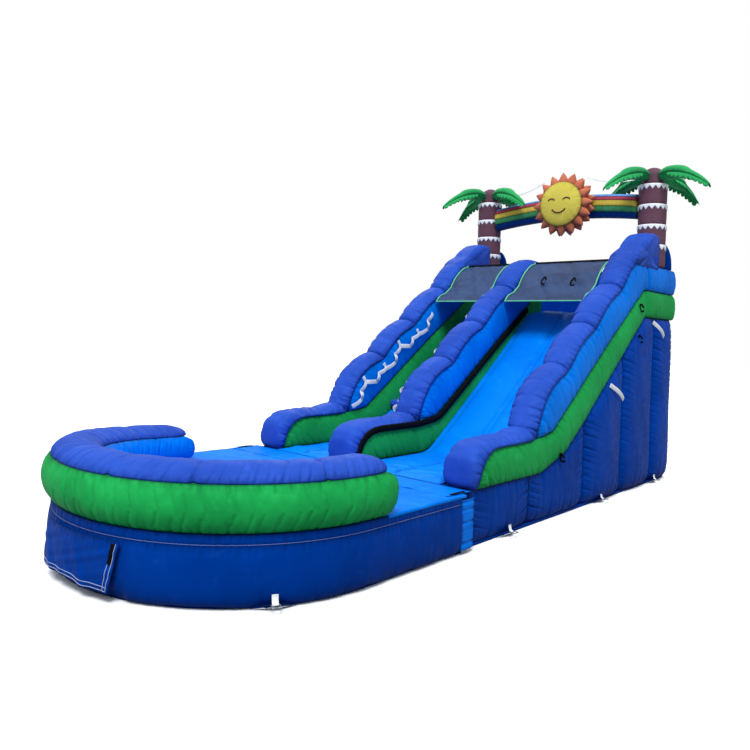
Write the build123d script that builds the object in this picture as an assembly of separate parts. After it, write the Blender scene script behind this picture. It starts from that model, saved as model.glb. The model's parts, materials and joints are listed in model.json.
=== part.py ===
from build123d import *
import math
import os

# Inflatable water slide with a climb lane, a slide lane and a splash pool that unhooks at the front.
# +X right, +Y back, +Z up. The origin is on the ground, at the middle of the slide unit's front edge.

# Driving sizes, in millimetres.
slide_width = 2960
slide_length = 4840
wall_width = 377
wall_centre_x = -182
film = 2.5
gap = 3
base_height = 490
foot_y = 1240
platform_height = 2155
platform_start_y = 3830
bed_foot_y = 1255
bed_thickness = 35
bed_top_y = 3420
bed_top_height = 2200
bed_sag = 25
climb_top_y = 3560
climb_sag = 160
step_radius = 50
step_pitch = 400
block_lean = 520
centre_wall_end_y = 3800
back_wall_y = 4480
panel_top = 2840
block_front_y = 3500
block_back_y = 4200
block_top = 3250
cap_rise = 90
palm_x = 1286
palm_y = 4390
trunk_radius = 183
palm_top = 4200
frond_length = 880
frond_turn = 68
frond_root_height = 4020
frond_droop = 270
beam_bottom = 3520
beam_height = 340
beam_rise = 80
beam_front_y = 4235
beam_depth = 290
sun_radius = 330
ray_radius = 470
sun_height = 3770
sun_x = 120
pool_gap = 120
pool_radius = 1520
pool_centre_y = -1300
bumper_outer_radius = 1550
bumper_inner_radius = 1090
bumper_end_y = -1060
bumper_band_top = 815
bumper_top = 910
webbing_width = 50
webbing = 3
ring_wire = 4
ring_width = 60
ring_reach = 55
bearing_clearance = 0.05
anchor_height = 45
side_anchor_y = (630, 2620, 4260)
pool_anchor_angle = 61
sleeve_radius = 125
sleeve_length = 330
sleeve_x = 700
sleeve_z = 175

half_width = slide_width / 2
wall_spans = {
    "left": (-half_width, -half_width + wall_width),
    "centre": (wall_centre_x - wall_width / 2, wall_centre_x + wall_width / 2),
    "right": (half_width - wall_width, half_width),
}
climb_lane = (wall_spans["left"][1] + gap, wall_spans["centre"][0] - gap)
slide_lane = (wall_spans["centre"][1] + gap, wall_spans["right"][0] - gap)
between_walls = (wall_spans["left"][1] + gap, wall_spans["right"][0] - gap)

# Side-view lines, as (y, z): the top of the body, and the creases where the scalloped wall tops meet.
body_top = [
    (0, base_height),
    (foot_y, base_height),
    (1740, 640),
    (2120, 890),
    (platform_start_y, platform_height),
    (slide_length, platform_height),
]
tube_top = [(320, 840), (1110, 840), (1470, 890), (2690, 1760), (3790, 2500), (slide_length, 2500)]
creases = [(1120, 840), (1770, 1490), (2400, 1950), (3100, 2440), (block_front_y, panel_top)]
scallop_bulges = [170, 90, 90, 55]


def bent(a, b, bulge, steps=8):
    """Points after a up to b on an arc that stands `bulge` to the left of the way from a to b."""
    run = (b[0] - a[0], b[1] - a[1])
    points = []
    for i in range(1, steps + 1):
        t = i / steps
        out = 4 * bulge * t * (1 - t) / math.hypot(*run)
        points.append((a[0] + run[0] * t - run[1] * out, a[1] + run[1] * t + run[0] * out))
    return points


def raised(line, rise):
    return [(y, z + rise) for y, z in line]


def height_on(line, y):
    """Height of a side-view line at y."""
    for (y0, z0), (y1, z1) in zip(line, line[1:]):
        if y0 <= y <= y1:
            return z0 + (z1 - z0) * (y - y0) / (y1 - y0)
    return line[-1][1]


def cut_at(line, y):
    """The part of a side-view line in front of y, ending at y."""
    return [p for p in line if p[0] < y] + [(y, height_on(line, y))]


def scallop_line(rise):
    line = [creases[0]]
    for start, end, bulge in zip(creases, creases[1:], scallop_bulges):
        line += bent(start, end, bulge)
    return raised(line, rise)


def plate(outline, x0, x1):
    """Solid prism with a side-view outline, between two X planes."""
    return extrude(Plane.YZ.offset(x0) * Polygon(*outline, align=None), x1 - x0, (1, 0, 0))


def upright(outline, y0, y1):
    """Solid prism with a front-view outline (x, z), between two Y planes."""
    return extrude(Plane.XZ.offset(-y0) * Polygon(*outline, align=None), y1 - y0, (0, 1, 0))


def level(outline, z0, z1):
    """Solid prism with a plan outline (x, y), between two heights."""
    return extrude(Pos(0, 0, z0) * Polygon(*outline, align=None), z1 - z0, (0, 0, 1))


def inset(outline, distance=film):
    """The closed outline moved inwards by distance, with sharp corners."""
    count = len(outline)
    area = sum(a[0] * b[1] - b[0] * a[1] for a, b in zip(outline, outline[1:] + outline[:1]))
    inward = distance if area > 0 else -distance
    corners = []
    for i in range(count):
        before, here, after = outline[i - 1], outline[i], outline[(i + 1) % count]
        d0 = Vector(here[0] - before[0], here[1] - before[1]).normalized()
        d1 = Vector(after[0] - here[0], after[1] - here[1]).normalized()
        n0, n1 = Vector(-d0.Y, d0.X), Vector(-d1.Y, d1.X)
        miter = (n0 + n1) * (inward / (1 + n0.dot(n1)))
        corners.append((here[0] + miter.X, here[1] + miter.Y))
    return corners


def chamber(outline, x0, x1):
    """Air chamber: the same prism with its inside taken out, leaving the film."""
    return plate(outline, x0, x1) - plate(inset(outline), x0 + film, x1 - film)


def block(x0, x1, y0, y1, z0, z1):
    size = (x1 - x0, y1 - y0, z1 - z0)
    return Pos((x0 + x1) / 2, (y0 + y1) / 2, (z0 + z1) / 2) * Box(*size)


def strap(start, end, width=webbing_width):
    """Flat webbing from start to end, its width level where it can be."""
    start, end = Vector(*start), Vector(*end)
    along = end - start
    side = along.cross(Vector(0, 0, 1))
    middle = Plane(origin=(start + end) / 2, x_dir=along, z_dir=side.cross(along))
    return middle * Box(along.length, width, webbing)


def group(solids):
    return Compound(children=list(solids))


# Slide unit

def main_body():
    back = [(slide_length, 180), (slide_length - 50, 60), (slide_length - 180, 0)]
    return chamber([(0, 0)] + body_top + back, -half_width, half_width)


def lane_line(top_y, sag):
    """Top of a lane floor in the side view: flat at the front, then a sagging slope to the platform."""
    line = [(0, base_height + bed_thickness), (bed_foot_y, base_height + bed_thickness)]
    line += bent(line[-1], (top_y, bed_top_height), -sag)
    return line + [(centre_wall_end_y, bed_top_height)]


def lane_bed(lane, top):
    """Inflated lane floor over the body."""
    under = raised(cut_at(body_top, centre_wall_end_y), gap)
    return chamber(under + top[::-1], *lane)


def climb_steps():
    """Five inflated bars across the climb lane."""
    line = lane_line(climb_top_y, climb_sag)
    middle = (climb_lane[0] + climb_lane[1]) / 2
    length = climb_lane[1] - climb_lane[0] - 2 * gap
    bar = Cylinder(step_radius, length) - Cylinder(step_radius - film, length - 2 * film)
    steps = []
    for i in range(5):
        y = 1520 + step_pitch * i
        rise = height_on(line, y + step_radius) - height_on(line, y - step_radius)
        slant = math.hypot(rise, 2 * step_radius) / (2 * step_radius)
        z = height_on(line, y) + (step_radius + 2 * gap) * slant
        steps.append(Pos(middle, y, z) * Rot(0, 90, 0) * bar)
    return group(steps)


def platform_floor():
    return chamber(
        [
            (centre_wall_end_y + gap, platform_height + gap),
            (centre_wall_end_y + gap, bed_top_height),
            (back_wall_y - gap, bed_top_height),
            (back_wall_y - gap, platform_height + gap),
        ],
        *between_walls,
    )


def back_wall():
    outline = [
        (back_wall_y, platform_height + gap),
        (back_wall_y, panel_top - 60),
        (back_wall_y + 60, panel_top),
        (slide_length - 60, panel_top),
        (slide_length, panel_top - 60),
        (slide_length, platform_height + gap),
    ]
    return chamber(outline, *between_walls)


def nose(setback):
    """Round front of a wall, from the base up to the flat top, set back from the very front."""
    start, end = (10 + setback, base_height + gap), (330 + setback, 840 + cap_rise - setback)
    return [start] + bent(start, end, 110)


def wall_tube(side, end_y):
    """Lower tube of a wall, behind the cap's round nose."""
    top = nose(cap_rise + gap) + [p for p in cut_at(tube_top, end_y) if p[0] > 500]
    under = [p for p in raised(cut_at(body_top, end_y), gap) if p[0] > 500]
    return chamber(top + under[::-1], *wall_spans[side])


def wall_panel(side, end_y):
    """Middle band of a wall, from the lower tube to the scalloped seam."""
    seam = scallop_line(-gap)[1:] + [(end_y, panel_top - gap)]
    under = raised(cut_at(tube_top, end_y), gap)
    under = [(1170, under[1][1] + 8)] + [p for p in under if p[0] > 1170]
    return chamber(seam + under[::-1], *wall_spans[side])


def wall_cap(side, end_y, block_height):
    """Top tube of a wall: down round the nose, flat behind it, scalloped up the slope, then a block."""
    under = nose(cap_rise) + scallop_line(gap) + [(end_y, panel_top + gap)]
    crown = nose(0) + [p for p in scallop_line(cap_rise) if p[0] < block_front_y - 5]
    lean = block_lean * (block_height - panel_top) / (block_top - panel_top)
    crown += [(block_front_y + lean - 40, block_height - 60), (block_front_y + lean + 20, block_height)]
    crown += [(end_y - 60, block_height), (end_y, block_height - 60)]
    return chamber(crown + under[::-1], *wall_spans[side])


def rear_fins():
    fins = []
    for side in (-1, 1):
        middle = 1295 * side
        outline = [
            (middle - 145, panel_top + gap),
            (middle - 130, 3080),
            (middle - 20, 3240),
            (middle + 20, 3240),
            (middle + 130, 3080),
            (middle + 145, panel_top + gap),
        ]
        fins.append(upright(outline, 4700, 4800))
    return group(fins)


def canopy_outline(front, back):
    """Sloping sheet's side view between two distances along its slope, 6 mm thick."""
    low = Vector(2800, 2300)
    high = Vector(3560, 2880)
    run = high - low
    normal = Vector(-run.Y, run.X) * (3 / run.length)
    a, b = low + run * front, low + run * back
    corners = (a - normal, b - normal, b + normal, a + normal)
    return [(corner.X, corner.Y) for corner in corners]


def canopy(lane):
    return plate(canopy_outline(0.03, 0.97), lane[0] + 28, lane[1] - 28)


def canopy_binding(lane):
    frame = plate(canopy_outline(0, 1), lane[0] + 1, lane[1] - 1)
    return frame - plate(canopy_outline(0.027, 0.973), lane[0] + 26, lane[1] - 26)


def trunk(side):
    outer = Cylinder(trunk_radius, palm_top - panel_top - gap)
    outer = fillet(outer.edges().sort_by(Axis.Z)[-1], 110)
    inner = Cylinder(trunk_radius - film, palm_top - panel_top - gap - 2 * film)
    inner = fillet(inner.edges().sort_by(Axis.Z)[-1], 110)
    return Pos(side * palm_x, palm_y, (palm_top + panel_top + gap) / 2) * (outer - inner)


def trunk_bands():
    """Four white zig-zag bands round each trunk, points down."""
    bands = []
    points = 16
    inner, outer = trunk_radius + 0.5, trunk_radius + 3.5
    for side in (-1, 1):
        for top in (3145, 3416, 3687, 3958):
            ring = Cylinder(outer, 60) - Cylinder(inner, 60)
            for i in range(points):
                notch = plate([(-36, -31), (36, -31), (0, 5)], 0, 250)
                ring -= Rot(0, 0, 360 * i / points) * notch
            bands.append(Pos(side * palm_x, palm_y, top - 30) * ring)
    return group(bands)


def fronds(side):
    """Four padded leaves at the top of a trunk, arching out and down."""
    root_radius = trunk_radius + 6
    root, tip = (root_radius, frond_root_height), (frond_length, frond_root_height - frond_droop)
    arch = [root] + bent(root, tip, 90)
    leaf = arch + raised(arch, 110)[::-1]
    solids = []
    for i in range(4):
        width = 130
        solid = upright(leaf, -width / 2, width / 2) - upright(inset(leaf), film - width / 2, width / 2 - film)
        solids.append(Pos(side * palm_x, palm_y, 0) * Rot(0, 0, frond_turn + 90 * i) * solid)
    return group(solids)


def rainbow_band(index):
    """One colour of the arched beam between the trunks; 0 is the lowest."""
    pitch = beam_height / 5
    low = beam_bottom + pitch * index
    half_span = palm_x - trunk_radius - 2 * gap
    ends = ((-half_span, low), (half_span, low))
    under = [ends[0]] + bent(*ends, beam_rise, 12)
    outline = under + raised(under, pitch - gap)[::-1]
    band = upright(outline, beam_front_y, beam_front_y + beam_depth)
    return band - upright(inset(outline), beam_front_y + film, beam_front_y + beam_depth - film)


def sun_disc():
    depth = 110
    disc = Cylinder(sun_radius, depth) - Cylinder(sun_radius - film, depth - 2 * film)
    return Pos(sun_x, beam_front_y - 190, sun_height) * Rot(90, 0, 0) * disc


def sun_rays():
    """Ring of sixteen padded rays round the disc."""
    count = 16
    depth = 170
    outline = []
    for i in range(2 * count):
        reach = ray_radius if i % 2 else ray_radius - 60
        angle = math.pi * i / count
        outline.append((reach * math.cos(angle), reach * math.sin(angle)))
    ring = level(outline, -depth / 2, depth / 2) - Cylinder(sun_radius + gap, depth)
    core = level(inset(outline), film - depth / 2, depth / 2 - film)
    core -= Cylinder(sun_radius + gap + film, depth)
    return Pos(sun_x, beam_front_y - gap - depth / 2, sun_height) * Rot(90, 0, 0) * (ring - core)


def sun_ties():
    """Webbing from each trunk, between two of its leaves, to the ring of rays."""
    ties = []
    for side, turn in ((-1, 23), (1, 203)):
        angle = math.radians(turn)
        reach = trunk_radius + 10
        root = (side * palm_x + reach * math.cos(angle), palm_y + reach * math.sin(angle), 4060)
        ties.append(strap((sun_x + side * 335, beam_front_y - 85, 4140), root, 25))
    return group(ties)


def handle_straps():
    """Zig-zag webbing handles on both inside faces of the climb lane."""
    points = [(1170, 930), (1400, 1200), (1760, 1390), (2050, 1660), (2420, 1850), (2700, 2130)]
    faces = (climb_lane[0] + 1, climb_lane[1] - 1 - webbing)
    straps = []
    for x in faces:
        handle = None
        for (y0, z0), (y1, z1) in zip(points, points[1:]):
            run = math.hypot(y1 - y0, z1 - z0)
            tilt = math.degrees(math.atan2(z1 - z0, y1 - y0))
            leg = Pos(0, (y0 + y1) / 2, (z0 + z1) / 2) * Rot(tilt, 0, 0) * Box(webbing, run + 40, 45)
            handle = leg if handle is None else handle + leg
        straps.append(Pos(x + webbing / 2, 0, 0) * handle)
    return group(straps)


def centre_strip():
    """Black strip along the slide side of the centre wall, under the middle band."""
    line = cut_at(tube_top, 3400)
    x = wall_spans["centre"][1] + 0.5
    return plate(line + raised(line, -webbing_width)[::-1], x, x + 2)


def connector_strips():
    strips = []
    for side in (-1, 1):
        outer = side * (half_width + 14)
        x0, x1 = sorted((outer, outer - side * 4))
        strips.append(block(x0, x1, -pool_gap + 8, -gap, 40, base_height - 30))
    return group(strips)


def upper_tethers():
    """Two short white straps sewn to each side, for guy ropes."""
    straps = []
    for side in (-1, 1):
        for y, z in ((2740, 1330), (4010, 2100)):
            run, drop = 330, 150
            tilt = -math.degrees(math.atan2(drop, run))
            body = Rot(tilt, 0, 0) * Box(webbing, math.hypot(run, drop), webbing_width)
            straps.append(Pos(side * (half_width + 2.5), y + run / 2, z - drop / 2) * body)
    return group(straps)


# Anchors: a sewn patch and webbing tab that holds a steel ring on its straight side.

tab_reach = 20


def anchor_frames(unit):
    """Where each ring sits: planes whose +X points out of the wall, with Y along the wall."""
    frames = []
    if unit == "slide":
        for side, turn in ((-1, 180), (1, 0)):
            for y in side_anchor_y:
                frames.append(Pos(side * half_width, y, anchor_height) * Rot(0, 0, turn))
    else:
        for angle in (-90 - pool_anchor_angle, pool_anchor_angle - 90):
            frames.append(Pos(0, pool_centre_y, anchor_height) * Rot(0, 0, angle) * Pos(pool_radius + 2, 0, 0))
    return frames


def anchor_tab():
    patch = Pos(2, 0, 55) * Box(2, 150, 150)
    tongue = Pos(3 + tab_reach / 2, 0, 0) * Box(tab_reach, webbing_width - 4, 2 * ring_wire + 8)
    tongue = fillet(tongue.edges().filter_by(Axis.Y).sort_by(Axis.X)[-2:], ring_wire + 2)
    bore = Pos(tab_reach - 5, 0, 0) * Rot(90, 0, 0) * Cylinder(ring_wire + bearing_clearance, 100)
    return patch + tongue - bore


def anchor_ring():
    """Rectangular steel ring; its straight inner side runs through the tab."""
    hinge_x = tab_reach - 5
    side_length = ring_reach
    bar = Rot(90, 0, 0) * Cylinder(ring_wire, ring_width)
    ring = Pos(hinge_x, 0, 0) * bar
    ring += Pos(hinge_x + side_length, 0, 0) * bar
    for y in (-ring_width / 2, ring_width / 2):
        ring += Pos(hinge_x + side_length / 2, y, 0) * Rot(0, 90, 0) * Cylinder(ring_wire, side_length)
        for x in (hinge_x, hinge_x + side_length):
            ring += Pos(x, y, 0) * Sphere(ring_wire)
    return ring


# Rear of the slide unit

def inflation_sleeve():
    tube = Cylinder(sleeve_radius + 4, sleeve_length) - Cylinder(sleeve_radius, sleeve_length)
    return Pos(sleeve_x, slide_length + gap + sleeve_length / 2, sleeve_z) * Rot(90, 0, 0) * tube


rear_zip_x = (-1150, -350)
rear_zip_z = 300


def rear_zip():
    y = slide_length + 1
    tape = block(*rear_zip_x, y, y + 2, rear_zip_z - 15, rear_zip_z + 15)
    return tape + block(rear_zip_x[0] + 5, rear_zip_x[1] - 5, y + 2, y + 4, rear_zip_z - 3, rear_zip_z + 3)


def rear_zip_slider():
    x, y = rear_zip_x[0] + 30, slide_length + 5.5
    slider = block(x - 14, x + 14, y, y + 6, rear_zip_z - 9, rear_zip_z + 9)
    return slider + block(x - 5, x + 5, y + 2, y + 5, rear_zip_z - 45, rear_zip_z - 8)


def rear_zip_flap():
    y = slide_length + 15
    return block(rear_zip_x[0] - 40, rear_zip_x[1] + 40, y, y + 4, rear_zip_z - 80, rear_zip_z + 60)


# Splash pool

def pool_outline(radius, end_y):
    """Plan of the pool at one radius: straight sides from end_y to a half round front."""
    angles = [math.pi * i / 48 for i in range(49)]
    half_round = [(radius * math.cos(a), pool_centre_y - radius * math.sin(a)) for a in angles]
    return [(radius, end_y)] + half_round + [(-radius, end_y)]


def horseshoe(outer, inner, end_y, z0, z1):
    """Band between two radii, open towards the slide."""
    return level(pool_outline(outer, end_y), z0, z1) - level(pool_outline(inner, end_y + 100), z0, z1)


def pool_base():
    outer = level(pool_outline(pool_radius, -pool_gap), 0, base_height)
    return outer - level(pool_outline(pool_radius - film, -pool_gap - film), film, base_height - film)


def pool_liner():
    """Flat vinyl sheet over the pool floor: inside the bumper, and right across behind its ends."""
    z0, z1 = base_height + 1, base_height + 4
    inside = level(pool_outline(bumper_inner_radius - 6, bumper_end_y), z0, z1)
    edge = pool_radius - 10
    return inside + block(-edge, edge, bumper_end_y + 6, -pool_gap - 5, z0, z1)


def bumper_chamber(outer, inner, z0, z1):
    skin = horseshoe(outer, inner, bumper_end_y, z0, z1)
    return skin - horseshoe(outer - film, inner + film, bumper_end_y - film, z0 + film, z1 - film)


bumper_split = (bumper_outer_radius + bumper_inner_radius) / 2


def zip_band(r0, r1, start, end, z0, z1):
    """Curved strip on the pool's front, between two angles from straight ahead."""
    steps = 16
    angles = [math.radians(start + (end - start) * i / steps - 90) for i in range(steps + 1)]
    points = [(r1 * math.cos(a), r1 * math.sin(a)) for a in angles]
    points += [(r0 * math.cos(a), r0 * math.sin(a)) for a in reversed(angles)]
    return Pos(0, pool_centre_y, 0) * level(points, z0, z1)


pool_zip_z = 230


def pool_zip():
    return zip_band(pool_radius + 1, pool_radius + 3, -9, 20, pool_zip_z - 15, pool_zip_z + 15)


def pool_zip_slider():
    body = Box(5, 24, 18) + Pos(0.5, 0, -20) * Box(2, 8, 34)
    turn = math.radians(-8 - 90)
    radius = pool_radius + 7
    place = Pos(radius * math.cos(turn), pool_centre_y + radius * math.sin(turn), pool_zip_z)
    return place * Rot(0, 0, -98) * body


def pool_zip_flap():
    return zip_band(pool_radius + 13, pool_radius + 17, -11, 22, 80, 410)


def junction_cover():
    """Sheet over the gap between the two units, fixed along the slide's front edge."""
    return block(-half_width + 20, half_width - 20, -330, -8, base_height + 7, base_height + 11)


def save(name, shape):
    export_step(shape, f"parts/{name}.step")


os.makedirs("parts", exist_ok=True)
save("main_body", main_body())
save("slide_bed", lane_bed(slide_lane, lane_line(bed_top_y, bed_sag)))
save("climb_ramp", lane_bed(climb_lane, lane_line(climb_top_y, climb_sag)))
save("climb_steps", climb_steps())
save("platform_floor", platform_floor())
save("back_wall", back_wall())
for side, end_y, cap_end, cap_height in (
    ("left", slide_length, block_back_y, block_top),
    ("centre", centre_wall_end_y, centre_wall_end_y, panel_top + 110),
    ("right", slide_length, block_back_y, block_top),
):
    save(f"{side}_wall_tube", wall_tube(side, end_y))
    save(f"{side}_wall_panel", wall_panel(side, end_y))
    save(f"{side}_wall_cap", wall_cap(side, cap_end, cap_height))
save("rear_fins", rear_fins())
for name, lane in (("slide", slide_lane), ("climb", climb_lane)):
    save(f"{name}_canopy", canopy(lane))
    save(f"{name}_canopy_binding", canopy_binding(lane))
for side, sign in (("left", -1), ("right", 1)):
    save(f"{side}_trunk", trunk(sign))
    save(f"{side}_fronds", fronds(sign))
save("trunk_bands", trunk_bands())
for index, colour in enumerate(("navy", "green", "yellow", "red", "sky")):
    save(f"rainbow_{colour}", rainbow_band(index))
save("sun_disc", sun_disc())
save("sun_rays", sun_rays())
save("sun_ties", sun_ties())
save("handle_straps", handle_straps())
save("centre_strip", centre_strip())
save("connector_strips", connector_strips())
save("upper_tethers", upper_tethers())
save("slide_anchor_tabs", group(frame * anchor_tab() for frame in anchor_frames("slide")))
save("pool_anchor_tabs", group(frame * anchor_tab() for frame in anchor_frames("pool")))
for unit in ("slide", "pool"):
    for number, frame in enumerate(anchor_frames(unit), 1):
        save(f"{unit}_ring_{number}", frame * anchor_ring())
save("inflation_sleeve", inflation_sleeve())
save("rear_zip", rear_zip())
save("rear_zip_slider", rear_zip_slider())
save("rear_zip_flap", rear_zip_flap())
save("pool_base", pool_base())
save("pool_liner", pool_liner())
save("bumper_outer", bumper_chamber(bumper_outer_radius, bumper_split + gap / 2, base_height + 10, bumper_band_top))
save("bumper_inner", bumper_chamber(bumper_split - gap / 2, bumper_inner_radius, base_height + 10, bumper_band_top))
save("bumper_cap", bumper_chamber(bumper_outer_radius, bumper_inner_radius, bumper_band_top + gap, bumper_top))
save("pool_zip", pool_zip())
save("pool_zip_slider", pool_zip_slider())
save("pool_zip_flap", pool_zip_flap())
save("junction_cover", junction_cover())
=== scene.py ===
import json
import math
import bmesh
import bpy
import numpy as np
from mathutils import Matrix, Vector

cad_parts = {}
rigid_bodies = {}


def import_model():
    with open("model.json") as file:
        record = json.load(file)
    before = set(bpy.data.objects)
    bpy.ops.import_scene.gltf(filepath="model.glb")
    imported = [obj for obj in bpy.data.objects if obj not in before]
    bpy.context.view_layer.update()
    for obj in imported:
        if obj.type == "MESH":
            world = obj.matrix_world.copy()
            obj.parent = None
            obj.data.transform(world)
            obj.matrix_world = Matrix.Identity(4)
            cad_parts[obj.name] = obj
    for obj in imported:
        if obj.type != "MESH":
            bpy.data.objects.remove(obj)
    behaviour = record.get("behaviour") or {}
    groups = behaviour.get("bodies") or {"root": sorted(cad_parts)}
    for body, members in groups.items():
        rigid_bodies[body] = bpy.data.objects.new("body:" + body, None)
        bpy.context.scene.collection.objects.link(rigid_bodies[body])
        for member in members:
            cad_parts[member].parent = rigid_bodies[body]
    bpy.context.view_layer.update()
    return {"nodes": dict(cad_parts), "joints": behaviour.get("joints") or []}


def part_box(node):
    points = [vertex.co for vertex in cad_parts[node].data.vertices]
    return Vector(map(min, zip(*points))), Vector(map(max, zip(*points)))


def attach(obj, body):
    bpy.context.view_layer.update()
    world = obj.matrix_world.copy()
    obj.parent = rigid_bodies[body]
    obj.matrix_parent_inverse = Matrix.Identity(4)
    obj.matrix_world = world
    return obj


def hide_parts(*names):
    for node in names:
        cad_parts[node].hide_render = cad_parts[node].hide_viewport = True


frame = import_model()

ROOT, POOL = "slide_unit", "splash_pool"
WALLS = ("left", "centre", "right")
SIDES = ((-1, "left"), (1, "right"))

# ---------------------------------------------------------------- materials


def linear(code):
    """Linear colour of a six-digit sRGB code."""
    channels = [int(code[i : i + 2], 16) / 255 for i in (0, 2, 4)]
    return [c / 12.92 if c <= 0.04045 else ((c + 0.055) / 1.055) ** 2.4 for c in channels] + [1]


class Nodes:
    """Adds and joins the shader nodes of a new material, or of another owner of a node tree."""

    def __init__(self, name, owner=None):
        self.material = owner or bpy.data.materials.new(name)
        self.material.use_nodes = True
        self.tree = self.material.node_tree
        self.shader = self.tree.nodes.get("Principled BSDF")

    def add(self, kind, inputs=(), **settings):
        node = self.tree.nodes.new(kind)
        for key, value in settings.items():
            setattr(node, key, value)
        for key, value in dict(inputs).items():
            self.feed(node.inputs[key], value)
        return node

    def feed(self, socket, value):
        """Joins a socket to another, or sets its value."""
        if isinstance(value, bpy.types.NodeSocket):
            self.tree.links.new(value, socket)
        else:
            socket.default_value = value

    def math(self, operation, a, b=0.0):
        return self.add("ShaderNodeMath", {0: a, 1: b}, operation=operation).outputs[0]

    def noise(self, scale, detail=2.0, vector=None, stretch=None, distortion=0.0):
        place = vector or self.add("ShaderNodeTexCoord").outputs["Object"]
        if stretch:
            place = self.add("ShaderNodeMapping", {"Vector": place, "Scale": stretch}).outputs[0]
        settings = {"Vector": place, "Scale": scale, "Detail": detail, "Distortion": distortion}
        return self.add("ShaderNodeTexNoise", settings).outputs[0]

    def fade(self, distance, rate):
        """1 at no distance, falling off exponentially."""
        return self.math("EXPONENT", self.math("MULTIPLY", distance, -rate))

    def split(self, vector):
        return self.add("ShaderNodeSeparateXYZ", {0: vector}).outputs

    def seam(self):
        return self.add("ShaderNodeUVMap", uv_map="seam").outputs[0]

    def blend(self, amount, first, second):
        node = self.add("ShaderNodeMix", {0: amount, 6: first, 7: second}, data_type="RGBA")
        return node.outputs[2]

    def span(self, value, low, high, start=0.0, stop=1.0):
        settings = {"Value": value, "From Min": start, "From Max": stop, "To Min": low, "To Max": high}
        return self.add("ShaderNodeMapRange", settings).outputs[0]

    def bump(self, height, distance, strength=1.0, under=None):
        settings = {"Height": height, "Distance": distance, "Strength": strength}
        if under:
            settings["Normal"] = under
        return self.add("ShaderNodeBump", settings).outputs[0]

    def set(self, **inputs):
        for key, value in inputs.items():
            self.feed(self.shader.inputs[key.replace("_", " ")], value)


def vinyl(name, code, shade):
    """Coated cloth: weave under a satin film, puckers beside seams with painted shade in them, a painted
    dark line in each seam, scuffs, and painted shade that darkens the colour towards the ground.
    """
    m = Nodes(name)
    place = m.split(m.add("ShaderNodeTexCoord").outputs["Object"])
    broad = m.span(m.noise(1.6, 4.0), 0, 1, 0.35, 0.65)
    scuff = m.span(m.noise(9.0, 6.0, distortion=0.6), 0, 1, 0.56, 0.74)
    colour = m.blend(m.math("MULTIPLY", broad, 0.35), linear(code), linear(shade))
    worn = [min(1.0, c * 1.5 + 0.01) for c in linear(code)[:3]] + [1]
    colour = m.blend(m.math("MULTIPLY", scuff, 0.25), colour, worn)
    # painted shade: the colour darkens towards the ground by height, in place of the shade low on the sides
    low = m.math("MULTIPLY", m.fade(place[2], 4.5), 0.5)
    colour = m.blend(low, colour, linear(shade))
    along, away, _ = m.split(m.seam())
    line, close, wide = (m.fade(away, rate) for rate in (110.0, 17.0, 9.0))
    path = m.add("ShaderNodeCombineXYZ", {0: along, 1: m.math("MULTIPLY", away, 0.35)}).outputs[0]
    fine = m.math("MULTIPLY", m.noise(34.0, 2.0, path), close)
    coarse = m.math("MULTIPLY", m.noise(13.0, 1.0, path), wide)
    height = m.math("ADD", fine, m.math("MULTIPLY", coarse, 1.2))
    # painted shade in the puckers beside the seams
    colour = m.blend(m.math("MULTIPLY", m.span(fine, 0, 1, 0.2, 0.7), 0.6), colour, linear(shade))
    # painted shade: a near-black line along each seam's groove
    colour = m.blend(m.math("MULTIPLY", line, 0.7), colour, linear("040818"))
    weave = m.bump(m.noise(700.0, 1.0), 0.0006, 0.25)
    folds = m.bump(m.noise(5.0, 3.0, distortion=0.4), 0.004, 0.4, weave)
    m.set(
        Base_Color=colour,
        Roughness=m.span(m.noise(14.0, 3.0), 0.36, 0.52, 0.3, 0.7),
        Normal=m.bump(height, 0.010, 1.0, folds),
        Specular_IOR_Level=0.08,
        Specular_Tint=[c**0.3 for c in linear(code)[:3]] + [1],
    )
    return m.material


def cloth(name, code, shade, threads=260.0, sheen=0.15):
    """Woven webbing or sleeve cloth."""
    m = Nodes(name)
    grain = m.noise(threads, 2.0, stretch=(1, 1, 1))
    wear = m.span(m.noise(11.0, 5.0), 0, 0.6, 0.45, 0.7)
    colour = m.blend(wear, linear(code), linear(shade))
    colour = m.blend(m.math("MULTIPLY", grain, 0.25), colour, linear(shade))
    m.set(
        Base_Color=colour,
        Roughness=m.span(grain, 0.75, 0.9),
        Normal=m.bump(grain, 0.0012, 0.8),
        Sheen_Weight=sheen,
        Specular_IOR_Level=0.5 if sheen else 0.1,
    )
    return m.material


NET_PITCH = 0.006  # distance between the canopy's threads


def netting(name, code, shade):
    """Close woven mesh: a grid of threads with see-through holes, and soft tonal streaks."""
    m = Nodes(name)
    place = m.split(m.seam())
    threads = []
    for axis in (0, 1):
        wave = m.math("SINE", m.math("MULTIPLY", place[axis], 2 * math.pi / NET_PITCH))
        threads.append(m.span(wave, 0, 1, -0.2, 0.35))
    solid = m.math("MAXIMUM", threads[0], threads[1])
    streak = m.span(m.noise(2.2, 3.0, stretch=(1, 1, 3)), 0, 1, 0.4, 0.7)
    colour = m.blend(m.math("MULTIPLY", streak, 0.55), linear(code), linear(shade))
    m.set(
        Base_Color=colour,
        Roughness=0.62,
        Alpha=m.span(solid, 0.72, 1.0),
        Normal=m.bump(solid, 0.0008, 0.6, m.bump(m.noise(2.6, 2.0), 0.012, 0.6)),
    )
    return m.material


def hard(name, code, shade, metallic, roughness):
    """Plated steel or moulded plastic, with brushed grain and worn spots."""
    m = Nodes(name)
    spots = m.span(m.noise(60.0, 5.0), 0, 1, 0.5, 0.7)
    m.set(
        Base_Color=m.blend(spots, linear(code), linear(shade)),
        Metallic=metallic,
        Roughness=m.span(m.noise(180.0, 2.0, stretch=(1, 6, 1)), roughness - 0.08, roughness + 0.12),
        Normal=m.bump(m.noise(300.0, 2.0), 0.0003, 0.5),
    )
    return m.material


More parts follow.
